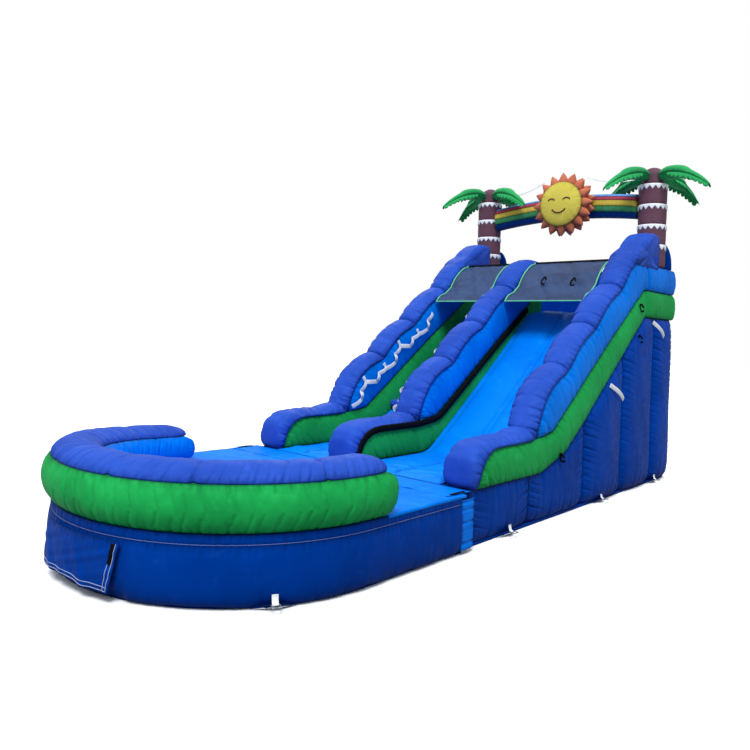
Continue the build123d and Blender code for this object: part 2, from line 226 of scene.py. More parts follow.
# look: (material, name of its slot, if the part offers it)
LOOKS = {
    "deep": (vinyl("vinyl_deep_blue", "003c9c", "001b58"), "deep_blue_vinyl"),
    "royal": (vinyl("vinyl_royal_blue", "284eb2", "0c2478"), "royal_blue_vinyl"),
    "light": (vinyl("vinyl_light_blue", "007ae8", "004cac"), "light_blue_vinyl"),
    "green": (vinyl("vinyl_green", "1ea24e", "005c26"), "green_vinyl"),
    "leaf": (vinyl("vinyl_leaf_green", "2a9c56", "12683a"), "leaf_green_vinyl"),
    "brown": (vinyl("vinyl_brown", "6c4a58", "4a3040"), "brown_vinyl"),
    "white": (vinyl("vinyl_white", "f6f6f8", "dcdee4"), "white_vinyl"),
    "navy": (vinyl("vinyl_navy", "164a90", "0c2f66"), "navy_vinyl"),
    "beam_green": (vinyl("vinyl_beam_green", "4a9a66", "2c7448"), "green_vinyl"),
    "yellow": (vinyl("vinyl_beam_yellow", "dcc454", "a88c34"), "yellow_vinyl"),
    "red": (vinyl("vinyl_beam_red", "b4465c", "7c2438"), "red_vinyl"),
    "sky": (vinyl("vinyl_beam_sky", "6ea6e6", "3c74bc"), "sky_vinyl"),
    "sun": (vinyl("vinyl_sun_yellow", "dccc58", "b49c38"), "sun_yellow_vinyl"),
    "ray": (vinyl("vinyl_sun_orange", "cc7656", "94483a"), "sun_orange_vinyl"),
    "face": (vinyl("vinyl_face_brown", "5a2f3a", "47222c"), None),
    "mesh": (netting("mesh_slate", "1c3a68", "0c1c3a"), "dark_mesh"),
    "mint": (cloth("webbing_mint", "62cc94", "3c9c70"), "mint_webbing"),
    "webbing": (cloth("webbing_white", "eceef0", "c4c8ce"), "white_webbing"),
    "thread": (cloth("thread_pale", "5c6cb4", "44549c"), None),
    "pale_thread": (cloth("thread_white", "a8b4dc", "8694c8"), None),
    "black": (cloth("webbing_black", "05060a", "020305", sheen=0.0), "black_webbing"),
    "sleeve": (cloth("sleeve_cloth", "0e3a9e", "082a78", 420.0), "blue_sleeve_fabric"),
    "steel": (hard("steel_zinc", "b8bcc2", "7c8086", 1.0, 0.32), None),
    "zip": (hard("zip_plastic", "16181c", "2c3036", 0.0, 0.42), None),
}

# ---------------------------------------------------------------- mesh tools


def ripple(place, spacing, seed=0.0):
    """Uneven waves about `spacing` apart, between about -1 and 1."""
    turn = 2 * math.pi * np.asarray(place) / spacing
    waves = np.sin(turn + 1.7 * seed) + 0.7 * np.sin(1.618 * turn + 3.1 * seed)
    return (waves + 0.6 * np.sin(0.53 * turn + 5.3 * seed)) / 2.0


def gathers(along, away, depth, spacing, reach, seed):
    """Depth of the gathered valleys that run away from a seam; the seam itself stays straight.

    spacing is the distance between valleys along the seam, reach how far they run from it.
    """
    away = np.asarray(away)
    fade = np.exp(-away / reach) * (1 - np.exp(-away / (0.25 * reach)))
    return 1.6 * depth * np.clip(ripple(along, spacing, seed), 0, 1) * fade


def full(share, power=0.55):
    """Cross-section of something blown up between two seams: 0 at both, 1 between."""
    return np.clip(4 * share * (1 - share), 0, 1) ** power


def ribs(place, seams, power=0.55):
    """(fullness, distance to the nearest seam) along a line sewn down at the seams."""
    place = np.asarray(place)
    rise, near = np.zeros_like(place), np.full_like(place, 9.0)
    for a, b in zip(seams, seams[1:]):
        inside = (place >= a) & (place <= b)
        rise = np.where(inside, full((place - a) / (b - a), power), rise)
    for seam in seams:
        near = np.minimum(near, np.abs(place - seam))
    return rise, near


def spread(*parts):
    """Coordinates of a grid from parts that each vary along one or both of its directions."""
    return np.stack(np.broadcast_arrays(*parts), axis=2)


def join(x, yz):
    """Grid of points from its X and its (y, z) pairs."""
    return np.concatenate([np.broadcast_to(x, yz.shape[:2])[..., None], yz], 2)


def soft_end(edge, reach, least, sharp=2.0):
    """Rounded closing of a chamber, from `least` at its end to 1 at `reach` from it."""
    return np.clip(1 - (1 - np.clip(edge / reach, 0, 1)) ** sharp, least, 1) ** 0.5


def unit(vectors):
    """Rows of vectors, each made one long."""
    return vectors / np.linalg.norm(vectors, axis=1)[:, None]


def turns_of(count):
    """Angles that go once round."""
    return np.linspace(0, 2 * math.pi, count, endpoint=False)


def lengths(points):
    """Distance travelled along a line of points."""
    steps = np.linalg.norm(np.diff(points, axis=0), axis=1)
    return np.concatenate([[0.0], np.cumsum(steps)])


def resample(points, count, blur=0):
    """The line with evenly spaced points, its corners softened over `blur` points."""
    points = np.asarray(points, float)
    travelled = lengths(points)
    even = np.linspace(0, travelled[-1], count)
    line = np.stack([np.interp(even, travelled, points[:, k]) for k in range(points.shape[1])], 1)
    if blur:
        kernel = np.exp(-0.5 * (np.arange(-3 * blur, 3 * blur + 1) / blur) ** 2)
        kernel /= kernel.sum()
        pad = 3 * blur
        before = 2 * line[0] - line[pad:0:-1]
        after = 2 * line[-1] - line[-2 : -pad - 2 : -1]
        wide = np.concatenate([before, line, after])
        line = np.stack([np.convolve(wide[:, k], kernel, "valid") for k in range(line.shape[1])], 1)
    return line


def normals_of(line):
    """Unit normals on the left of a 2-D line."""
    tangent = unit(np.gradient(line, axis=0))
    return np.stack([-tangent[:, 1], tangent[:, 0]], 1)


def piece(name, points, faces, look, body=ROOT, stands_for=None, seam=None):
    """A mesh object from points and faces, riding on a body. seam holds (along, away) per point."""
    points = np.asarray(points, float).reshape(-1, 3)
    mesh = bpy.data.meshes.new(name)
    mesh.from_pydata(points.tolist(), [], [tuple(int(i) for i in f) for f in faces])
    material, slot = LOOKS[look]
    mesh.materials.append(material)
    if seam is None:
        seam = np.tile([0.0, 1.0], (len(points), 1))
    layer = mesh.uv_layers.new(name="seam")
    corners = np.empty(len(mesh.loops), dtype=np.int64)
    mesh.loops.foreach_get("vertex_index", corners)
    layer.data.foreach_set("uv", np.asarray(seam, float).reshape(-1, 2)[corners].ravel())
    tidy = bmesh.new()
    tidy.from_mesh(mesh)
    bmesh.ops.recalc_face_normals(tidy, faces=tidy.faces)
    tidy.to_mesh(mesh)
    tidy.free()
    mesh.polygons.foreach_set("use_smooth", [True] * len(mesh.polygons))
    obj = bpy.data.objects.new(name, mesh)
    bpy.context.scene.collection.objects.link(obj)
    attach(obj, body)
    if stands_for:
        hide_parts(stands_for)


def grid_faces(rows, columns, wrap_rows=False, wrap_columns=False):
    """Quads of a grid of points stored row by row."""
    i = np.arange(rows if wrap_rows else rows - 1)
    j = np.arange(columns if wrap_columns else columns - 1)
    i, j = [a.ravel() for a in np.meshgrid(i, j, indexing="ij")]
    i1, j1 = (i + 1) % rows, (j + 1) % columns
    corners = [i * columns + j, i1 * columns + j, i1 * columns + j1, i * columns + j1]
    return np.stack(corners, 1).tolist()


def loft(name, rings, look, body=ROOT, stands_for=None, seam=None):
    """Closed skin through rings of points; the ends are closed to their middles."""
    rings = np.asarray(rings, float)
    rows, columns = rings.shape[:2]
    points = rings.reshape(-1, 3)
    faces = grid_faces(rows, columns, wrap_columns=True)
    seam = None if seam is None else np.asarray(seam, float).reshape(-1, 2)
    for row in (0, rows - 1):
        middle = len(points)
        points = np.concatenate([points, rings[row].mean(0)[None]])
        start = row * columns
        faces += [(start + j, start + (j + 1) % columns, middle) for j in range(columns)]
        if seam is not None:
            seam = np.concatenate([seam, [[0, 1]]])
    piece(name, points, faces, look, body, stands_for, seam)


def pad(name, outer, inner, look, body=ROOT, stands_for=None, seam=None):
    """Closed cushion between an outer and an inner grid of points."""
    rings = np.concatenate([outer, inner[:, ::-1]], 1)
    if seam is not None:
        still = np.zeros_like(seam)
        still[..., 1] = 1.0
        seam = np.concatenate([seam, still], 1)
    loft(name, rings, look, body, stands_for, seam)


def revolve(axis_point, axis, radii, heights, turns=72, shake=None):
    """Rings round an axis; shake(turn angles, row) gives extra radius."""
    axis = Vector(axis).normalized()
    side = axis.orthogonal().normalized()
    other = axis.cross(side)
    angles = turns_of(turns)
    rings = []
    for row, (radius, height) in enumerate(zip(radii, heights)):
        reach = radius + (shake(angles, row) if shake else 0)
        ring = np.outer(np.cos(angles) * reach, side) + np.outer(np.sin(angles) * reach, other)
        rings.append(ring + np.array(axis_point) + np.array(axis) * height)
    return np.array(rings)


def ribbon(name, path, across, width, look, body=ROOT, stands_for=None, thick=0.003):
    """Flat strap along a path; across gives the direction of its width, per point or once."""
    path = np.asarray(path, float)
    across = unit(np.broadcast_to(np.asarray(across, float), path.shape))
    up = unit(np.cross(unit(np.gradient(path, axis=0)), across))
    half, low = across * width / 2, up * thick / 2
    flat = 0.82
    edge = ((-1, 0), (-flat, -1), (flat, -1), (1, 0), (flat, 1), (-flat, 1))
    rings = [path + half * a + low * b for a, b in edge]
    loft(name, np.stack(rings, 1), look, body, stands_for)


def cord(name, path, radius, look, stands_for=None, sides=8):
    """Round cord along a path."""
    path = np.asarray(path, float)
    tangent = unit(np.gradient(path, axis=0))
    skew = np.array([0.137, 0.29, 0.947])  # in line with no cord drawn here
    side = unit(np.cross(tangent, skew))
    other = np.cross(tangent, side)
    rings = [path + radius * (np.cos(a) * side + np.sin(a) * other) for a in turns_of(sides)]
    loft(name, np.stack(rings, 1), look, ROOT, stands_for)


# ---------------------------------------------------------------- reading the frame


def corners_of(node):
    """Points of a CAD node's mesh."""
    return np.array([v.co for v in frame["nodes"][node].data.vertices])


def side_outline(node):
    """Corners (y, z) of a CAD prism's face at its highest X, in order round the face."""
    mesh = frame["nodes"][node].data
    high = max(v.co.x for v in mesh.vertices)
    uses = {}
    for face in mesh.polygons:
        corners = [mesh.vertices[i].co for i in face.vertices]
        if min(c.x for c in corners) > high - 1e-4:
            keys = [(round(c.y, 4), round(c.z, 4)) for c in corners]
            for a, b in zip(keys, keys[1:] + keys[:1]):
                edge = frozenset((a, b))
                uses[edge] = uses.get(edge, 0) + 1
    joined = {}
    for edge, count in uses.items():
        if count == 1 and len(edge) == 2:
            a, b = edge
            joined.setdefault(a, []).append(b)
            joined.setdefault(b, []).append(a)
    start = min(joined)
    outline, before = [start], None
    while True:
        here = outline[-1]
        ahead = [p for p in joined[here] if p != before and p != here]
        if not ahead or (ahead[0] == start and len(outline) > 2):
            break
        before = here
        outline.append(ahead[0])
    return np.array(outline)


def chains(outline, front, back_low, back_high):
    """(lower, upper) lines from the corner nearest `front` to the two corners at the back."""
    count = len(outline)
    start, low, high = (
        int(np.argmin(np.linalg.norm(outline - np.array(p), axis=1)))
        for p in (front, back_low, back_high)
    )

    def walk(stop, step):
        """Corners from the start to another corner, one way round."""
        steps = (stop - start) * step % count
        return np.array([outline[(start + step * k) % count] for k in range(steps + 1)])

    step = 1 if (high - start) % count < (low - start) % count else -1
    return walk(low, -step), walk(high, step)


def wall_lines(node):
    """Lower and upper line of a wall layer in the side view."""
    outline = side_outline(node)
    front = outline[np.argmin(outline[:, 0] + 0.2 * outline[:, 1])]
    at_back = outline[outline[:, 0] > outline[:, 0].max() - 0.002]
    return chains(outline, front, at_back[at_back[:, 1].argmin()], at_back[at_back[:, 1].argmax()])


body_outline = side_outline("main_body")
body_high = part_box("main_body")[1]
wall_low, wall_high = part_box("right_wall_tube")
wall_half = (wall_high.x - wall_low.x) / 2
SEAM_INSET = 0.045  # how far a wall's seams lie inside its widest point

# ---------------------------------------------------------------- walls


def crease_places(line, travelled):
    """Where a scalloped line turns sharply from gentle to steep."""
    step = np.diff(line, axis=0)
    heading = np.arctan2(step[:, 1], step[:, 0])
    turn = np.diff(heading)
    return [travelled[i + 1] for i in range(len(turn)) if turn[i] > 0.3]


TUBE_SEAMS = (1.08, 1.52, 2.45)  # Y of the tube's thin upright seams
CORNER_SEAM = 3.86  # Y of the seam where a side wall's bands turn level


def wall_layer(side, layer, look, count):
    """Lower or middle band of a wall, blown out on both faces and gathered along its seams."""
    node = f"{side}_wall_{layer}"
    lo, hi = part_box(node)
    lower, upper = wall_lines(node)
    creases = [] if layer == "tube" else crease_places(upper, lengths(upper) / lengths(upper)[-1])
    lower, upper = resample(lower, count, 3), resample(upper, count, 3)
    along = lengths(upper)
    share = np.linspace(0, 1, 26)
    line_y = (lower[:, 0] + upper[:, 0]) / 2
    height = np.linalg.norm(upper - lower, axis=1)
    away = np.minimum(share, 1 - share)[None, :] * height[:, None]
    bulge = full(share, 0.5)[None, :] * np.clip(height / 0.2, 0.15, 1)[:, None]
    out = (hi.x - lo.x) / 2 - SEAM_INSET * (1 - bulge)
    rings, seams = [], []
    for face, seed in ((1, 1.0 + len(side)), (-1, 2.0 + len(side))):
        shape = out - gathers(along[:, None] + 0.2 * share[None, :], away, 0.012, 0.065, 0.06, seed)
        shape -= gathers(along[:, None], away, 0.011, 0.15, 0.12, seed + 4)
        for place in creases:
            gap = np.abs(along - place * along[-1])
            down = (1 - share)[None, :] * height[:, None]
            shape -= 0.022 * np.exp(-gap / 0.018)[:, None] * np.exp(-down / 0.11)
        if side != "centre":
            corner = np.abs(line_y - CORNER_SEAM)
            shape -= 0.030 * np.exp(-corner / 0.035)[:, None]
        if layer == "tube":
            for place in TUBE_SEAMS:
                gap = np.abs(line_y - place)
                shape -= 0.009 * np.exp(-gap / 0.007)[:, None]
            early = along < 0.75
            folds = np.clip(ripple(along, 0.085, seed), 0, 1)[:, None] * np.exp(-away / 0.16)
            shape -= np.where(early[:, None], 0.010 * folds, 0)
        flat = lower[:, None] + (upper - lower)[:, None] * share[None, :, None]
        grid = join((lo.x + hi.x) / 2 + face * shape, flat)
        uv = spread(along[:, None], away)
        rings.append(grid if face == 1 else grid[:, ::-1])
        seams.append(uv if face == 1 else uv[:, ::-1])
    loft(f"{side}_{layer}_skin", np.concatenate(rings, 1), look, ROOT, node, np.concatenate(seams, 1))


def wall_cap(side):
    """Royal-blue top: over the nose, then soft scallops with a pinched crease between them."""
    node = f"{side}_wall_cap"
    lo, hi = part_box(node)
    lower, _ = wall_lines(node)
    block_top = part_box("left_wall_cap")[1].z
    panel_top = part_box("left_wall_panel")[1].z
    end = len(lower) - 1 if side == "centre" else int(np.argmax(lower[:, 1] > panel_top - 0.002))
    start = int(np.argmax(lower[:, 1] > lo.z + 0.004)) - 1
    seam_line = lower[start : end + 1]
    raw = lengths(seam_line)
    count = 560
    line = resample(seam_line, count, 2)
    along = lengths(line)
    creases = [p * along[-1] / raw[-1] for p in crease_places(seam_line, raw)]
    near = np.min([np.abs(along - c) for c in creases] + [np.full(count, 9.0)], axis=0)
    normal = normals_of(resample(seam_line, count, 9))
    even = resample(seam_line, count, 26)
    slope = np.clip((along - 0.9) / 0.35, 0, 1) * np.clip((along[-1] - along) / 0.3, 0, 1)
    level = 0.72 * slope * np.sum((even - line) * normal, axis=1)
    swell = 1 - np.exp(-near / 0.09)
    begin = 1 - np.exp(-along / 0.05)
    nose = np.clip(1 - (along / 0.45) ** 3, 0, 1)
    flat_part = np.clip((along - 0.25) / 0.25, 0, 1) * np.clip((1.05 - along) / 0.2, 0, 1)
    tall = (0.056 + 0.034 * swell) * (0.5 + 0.5 * begin) + level
    tall += 0.040 * nose * begin - 0.036 * flat_part
    wide = wall_half - SEAM_INSET + (0.034 * swell + 0.016 * nose) * begin
    angle = np.linspace(0, math.pi, 40)
    c, s = np.cos(angle), np.sin(angle)
    across = np.sign(c) * np.abs(c) ** 0.8
    above = np.abs(s) ** 0.8
    seed = 3.0 + len(side)
    away = np.minimum(angle, math.pi - angle)[None, :] * 0.13 + 0 * along[:, None]
    dent = gathers(along[:, None], away, 0.014, 0.065, 0.05, seed)
    dent += gathers(along[:, None], away, 0.012, 0.17, 0.12, seed + 2)
    pleat = np.clip(ripple(c * wall_half, 0.05, seed), 0, 1)[None, :] * np.exp(-near / 0.075)[:, None]
    pinch = 0.020 * np.exp(-near / 0.011)[:, None] + 0.012 * pleat
    dent += pinch * s[None, :] ** 0.5
    folds = np.where(along < 0.9, 0.004, 0.0)[:, None] * ripple(along, 0.12, seed)[:, None] * s[None, :]
    reach = tall[:, None] * above[None, :] - dent * s[None, :] ** 0.5 - folds
    x = (lo.x + hi.x) / 2 + (wide[:, None] - dent * np.abs(c)[None, :]) * across[None, :]
    outer = join(x, line[:, None] + normal[:, None] * reach[..., None])
    inner = join(x, line[:, None] - normal[:, None] * 0.006 + 0 * reach[..., None])
    uv = spread(along[:, None], np.minimum(away, near[:, None] + 0.004))
    pad(f"{side}_cap_skin", outer, inner, "royal", ROOT, node, uv)
    if side != "centre":
        end_block(side, lo, hi, panel_top, block_top)


def end_block(side, lo, hi, bottom, top):
    """Upright block where a side wall's cap ends in front of the palm: a leaning front with one crease."""
    outline = side_outline(f"{side}_wall_cap")
    y0 = min(p[0] for p in outline if p[1] > bottom - 0.002)
    crown = min(p[0] for p in outline if p[1] > top - 0.002)
    y1 = max(p[0] for p in outline if p[1] > bottom + 0.05)
    fold = 0.46
    rise = np.linspace(0, 1, 41)
    beyond = (rise - fold) / (1 - fold)
    hump = np.sin(math.pi * np.where(rise < fold, rise / fold, beyond))
    lean = y0 + (crown - 0.03 - y0) * rise - 0.045 * np.clip(hump, 0, 1) ** 0.8
    front = np.stack([lean, bottom + (top - bottom) * rise], 1)
    sunk = bottom - 0.07
    loop = np.concatenate([front, [[y1 - 0.02, top], [y1, top - 0.02], [y1, sunk], [y0, sunk]]])
    shape = resample(loop, 150)[:-1]
    soft = np.exp(-0.5 * (np.arange(-6, 7) / 2.2) ** 2)
    wrapped = np.concatenate([shape[-6:], shape, shape[:6]])
    shape = np.stack([np.convolve(wrapped[:, k], soft / soft.sum(), "valid") for k in (0, 1)], 1)
    middle = shape.mean(0)
    round_ = 0.075
    x = wall_half * np.sin(np.linspace(-1, 1, 72) * math.pi / 2)
    edge = wall_half - np.abs(x)
    inset = round_ * (1 - np.sqrt(1 - (1 - np.clip(edge / round_, 0, 1)) ** 2))
    outward = unit(shape - middle)
    around = lengths(np.concatenate([shape, shape[:1]]))[:-1]
    dent = gathers(around[None, :], edge[:, None], 0.008, 0.055, 0.05, 2.0)
    yz = shape[None] - outward[None] * (inset[:, None] + dent)[..., None]
    away = np.minimum(edge[:, None] + 0.03, np.abs(shape[:, 1] - bottom)[None, :])
    rings = join(((lo.x + hi.x) / 2 + x)[:, None], yz)
    uv = spread(around[None, :], away)
    loft(f"{side}_end_block", rings, "royal", ROOT, f"{side}_wall_cap", uv)


for wall in WALLS:
    wall_layer(wall, "tube", "green", 460)
    wall_layer(wall, "panel", "light", 380)
    wall_cap(wall)

# ---------------------------------------------------------------- body


def top_of_body(y):
    """Height of the body's upper edge in the side view."""
    upper = body_outline[body_outline[:, 1] > 0.3]
    upper = upper[np.argsort(upper[:, 0])]
    return np.interp(y, upper[:, 0], upper[:, 1])


base_height = float(top_of_body(0.5))
rib_seams = [0.0, 1.05, 2.23, 3.22, 4.17, body_high.y]


def side_panel(sign, tag):
    """Deep-blue side: tall upright ribs, gathered along their seams and tucked under at the ground."""
    y = np.unique(np.concatenate([np.linspace(0, body_high.y, 360), rib_seams]))
    share = np.linspace(0, 1, 190)
    round_back = np.clip(y - (body_high.y - 0.18), 0, 0.18)
    bottom = 0.18 - np.sqrt(np.clip(0.18**2 - round_back**2, 0, 1))
    top = top_of_body(y)
    rise, near = ribs(y, rib_seams, 0.5)
    ends = np.minimum(y, body_high.y - y) > 0.3
    bottom = bottom + np.where(ends, 0.030 * np.exp(-near / 0.10), 0)
    z = bottom[:, None] + (top - bottom)[:, None] * share[None, :]
    from_top = top[:, None] - z
    low = z - bottom[:, None]
    hem = (1 - np.exp(-low / 0.06)) * (1 - np.exp(-from_top / 0.07))
    big = np.clip(top / 1.3, 0.35, 1)[:, None]
    out = body_high.x - 0.050 - 0.05 * np.exp(-low / 0.04)
    out += (0.072 * rise - 0.045 * np.exp(-near / 0.05))[:, None] * big * hem
    gathered = np.where(y[:, None] < 0.5, 1.0, 0.25 + 0.75 * np.exp(-((from_top / 0.75) ** 2)))
    beside = gathers(z + 0.3 * near[:, None], near[:, None], 0.024, 0.075, 0.12, 2.0)
    out -= beside * gathered * hem
    out -= gathers(y[:, None], from_top, 0.009, 0.05, 0.05, 5.0)
    out -= gathers(y[:, None], from_top, 0.012, 0.17, 0.14, 6.0)
    out -= gathers(y[:, None], low, 0.014, 0.14, 0.12, 7.0)
    out += 0.004 * ripple(y[:, None] + 0.4 * z, 0.6, 8.0) * hem
    corner = 0.09
    back = np.clip(y - (body_high.y - corner), 0, corner)
    front = np.clip(corner / 2 - y, 0, corner / 2)
    tuck = corner - np.sqrt(corner**2 - back**2)
    tuck += corner / 2 - np.sqrt((corner / 2) ** 2 - front**2)
    grid = spread(sign * (out - tuck[:, None]), y[:, None], z)
    inner = grid.copy()
    inner[..., 0] = sign * (body_high.x - 0.18)
    near = near[:, None]
    uv = spread(np.where(near < from_top, z, y[:, None]), np.minimum(near, from_top))
    pad(f"body_side_{tag}", grid, inner, "deep", ROOT, "main_body", uv)


def end_panel(name, y, facing, seams, top, depth):
    """Upright panel across the front or back of the body, with shallow ribs."""
    x = np.linspace(-body_high.x + 0.08, body_high.x - 0.08, 150)
    z = np.linspace(0.0, top, 60)
    rise, near = ribs(x, seams, 0.5)
    hem = (1 - np.exp(-z / 0.05)) * (1 - np.exp(-(top - z) / 0.05))
    out = depth * rise[:, None] * hem[None, :] - 0.03 * np.exp(-z / 0.03)[None, :]
    out -= gathers(z[None, :], near[:, None], depth * 0.5, 0.06, 0.06, 3.0)
    out -= gathers(x[:, None], (top - z)[None, :], depth * 0.4, 0.05, 0.05, 4.0)
    grid = spread(x[:, None], y + facing * out, z[None, :])
    inner = grid.copy()
    inner[..., 1] = y - facing * 0.09
    near, below = near[:, None], (top - z)[None, :]
    uv = spread(np.where(near < below, z[None, :], x[:, None]), np.minimum(near, below))
    pad(name, grid, inner, "deep", ROOT, "main_body", uv)


for sign, tag in SIDES:
    side_panel(sign, tag)
quarter = body_high.x / 2
end_seams = [-body_high.x, -quarter, 0, quarter, body_high.x]
end_panel("body_back", body_high.y - 0.016, 1, end_seams, body_high.z, 0.014)
end_panel("body_front", 0.012, -1, end_seams, base_height, 0.010)


def ground_sheet():
    """Heavy sheet under the slide unit."""
    x = np.linspace(-body_high.x + 0.06, body_high.x - 0.06, 30)
    y = np.linspace(0.02, body_high.y - 0.16, 60)
    base = np.stack(np.meshgrid(x, y, indexing="ij") + [np.zeros((30, 60))], 2)
    pad("body_underside", base + [0, 0, 0.02], base, "deep", ROOT, "main_body")


ground_sheet()


def lane_bed(node, name, seams_at, swell):
    """Lane floor: long tubes side by side, flat at the foot and up the slope."""
    lo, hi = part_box(node)
    outline = side_outline(node)
    last = outline[outline[:, 0] > hi.y - 0.002]
    front = (0.0, outline[outline[:, 0] < 0.002][:, 1].max())
    _, upper = chains(outline, front, last[last[:, 1].argmin()], last[last[:, 1].argmax()])
    line = resample(upper, 300, 5)
    along = lengths(line)
    normal = normals_of(line)
    x = np.linspace(lo.x - 0.004, hi.x + 0.004, 131)
    seams = [lo.x - 0.004 + (hi.x - lo.x + 0.008) * s for s in seams_at]
    rise, near = ribs(x, seams, 0.5)
    slope = np.clip(along / 0.6, 0, 1)[:, None]
    out = swell * (rise[None, :] - 0.6) * (0.2 + 0.8 * slope)
    out = out - (0.006 + 0.030 * slope) * np.exp(-near / 0.016)[None, :]
    sides = np.minimum(x - x[0], x[-1] - x)
    out -= 0.07 * np.exp(-sides / 0.045)[None, :] * slope
    out -= gathers(along[:, None], near[None, :], 0.006, 0.06, 0.045, 1.0)
    foot = np.exp(-((along / 0.8) ** 2))[:, None] * np.clip(along / 0.15, 0, 1)[:, None]
    wave = ripple(along[:, None] + 0.35 * x[None, :], 0.33, 2.0)
    wave += ripple(along[:, None] - 0.5 * x[None, :], 0.21, 3.0)
    out += 0.006 * foot * wave
    out -= 0.026 * np.exp(-((along / 0.07) ** 2))[:, None]
    top = join(x[None, :], line[:, None] + normal[:, None] * out[..., None])
    under = top.copy()
    under[..., 1:] = (line - normal * 0.02)[:, None]
    pad(name, top, under, "light", ROOT, node, spread(along[:, None], near[None, :]))


lane_bed("slide_bed", "slide_bed_skin", (0, 0.5, 1), 0.055)
lane_bed("climb_ramp", "climb_ramp_skin", (0, 0.5, 1), 0.03)


def puffed_bar(name, start, end, radius, stands_for, seed):
    """Sausage-shaped bar with gathered ends."""
    start, end = np.array(start), np.array(end)
    length = np.linalg.norm(end - start)
    t = np.linspace(0, 1, 60)
    edge = np.minimum(t, 1 - t) * length
    radii = radius * soft_end(edge, radius * 0.8, 0.03, 2.4)

    def shake(angles, row):
        return -gathers(angles * radius, edge[row], 0.010, 0.035, 0.08, seed)

    rings = revolve(start, end - start, radii, t * length, 56, shake)
    uv = spread(turns_of(56)[None] * radius, edge[:, None])
    loft(name, rings, "royal", ROOT, stands_for, uv)


STEPS = 5


def climb_steps():
    """Padded rungs across the climb lane."""
    lo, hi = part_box("climb_steps")
    points = corners_of("climb_steps")
    first = points[points[:, 1] < lo.y + (hi.y - lo.y) / (2 * STEPS)]
    radius = (first[:, 2].max() - first[:, 2].min()) / 2
    pitch = (hi.y - lo.y - radius * 2) / (STEPS - 1)
    for i in range(STEPS):
        y = lo.y + radius + pitch * i
        near = points[np.abs(points[:, 1] - y) < radius + 0.01]
        z = (near[:, 2].min() + near[:, 2].max()) / 2
        puffed_bar(f"climb_step_{i + 1}", (lo.x, y, z), (hi.x, y, z), radius, "climb_steps", i)


climb_steps()


def puffed_box(name, node, look, edge=0.06):
    """Box-shaped chamber with soft edges and gathers, inside its CAD box."""
    lo, hi = (np.array(p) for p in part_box(node))
    half, middle = (hi - lo) / 2, (hi + lo) / 2
    t = np.linspace(-1, 1, 90)
    end = np.clip((1 - np.abs(t)) * half[0] / edge, 0, 1)
    shrink = 1 - (edge / half[1:])[None, :] * (1 - np.sqrt(1 - (1 - end) ** 2))[:, None] * 0.8
    angles = turns_of(100)
    c, s = np.cos(angles), np.sin(angles)
    around = np.stack([np.sign(c) * np.abs(c) ** 0.4, np.sign(s) * np.abs(s) ** 0.4], 1)
    yz = middle[1:] + around[None] * (half[1:] * shrink)[:, None, :]
    along, away = (t * half[0])[:, None], np.abs(np.abs(s) - np.abs(c))[None, :] * 0.12
    yz -= around[None] * gathers(along, away, 0.006, 0.06, 0.05, 1.0)[..., None]
    loft(name, join(middle[0] + along, yz), look, ROOT, node, spread(along, away))


puffed_box("back_wall_skin", "back_wall", "deep")
puffed_box("platform_floor_skin", "platform_floor", "light", 0.02)


def fins():
    """Pointed fins behind the palms."""
    lo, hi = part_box("rear_fins")
    points = corners_of("rear_fins")
    for sign, tag in SIDES:
        own = points[points[:, 0] * sign > 0]
        left, right = own[:, 0].min(), own[:, 0].max()
        t = np.linspace(0, 1, 46)
        wide = (right - left) / 2 * np.clip(1 - t**2.6, 0.0004, 1) ** 0.62
        deep = (hi.y - lo.y) / 2 * np.clip(1 - t**4, 0.001, 1) ** 0.5
        angles = turns_of(48)
        dent = gathers(angles * 0.14, t[:, None] * 0.38, 0.3, 0.05, 0.06, 1.0)
        ring_x = (left + right) / 2 + np.outer(wide, np.cos(angles)) * (1 - dent * 0.3)
        ring_y = (lo.y + hi.y) / 2 + np.outer(deep, np.sin(angles)) * (1 - dent)
        ring_z = (lo.z + t * (hi.z - lo.z))[:, None]
        uv = spread(angles[None] * 0.14, ring_z - lo.z)
        loft(f"rear_fin_{tag}", spread(ring_x, ring_y, ring_z), "deep", ROOT, "rear_fins", uv)


fins()

# ---------------------------------------------------------------- canopies


def seam_height(y):
    """Height of the scalloped seam along a wall."""
    lower, _ = wall_lines("right_wall_cap")
    lower = lower[np.argsort(lower[:, 0], kind="stable")]
    return np.interp(y, lower[:, 0], lower[:, 1])


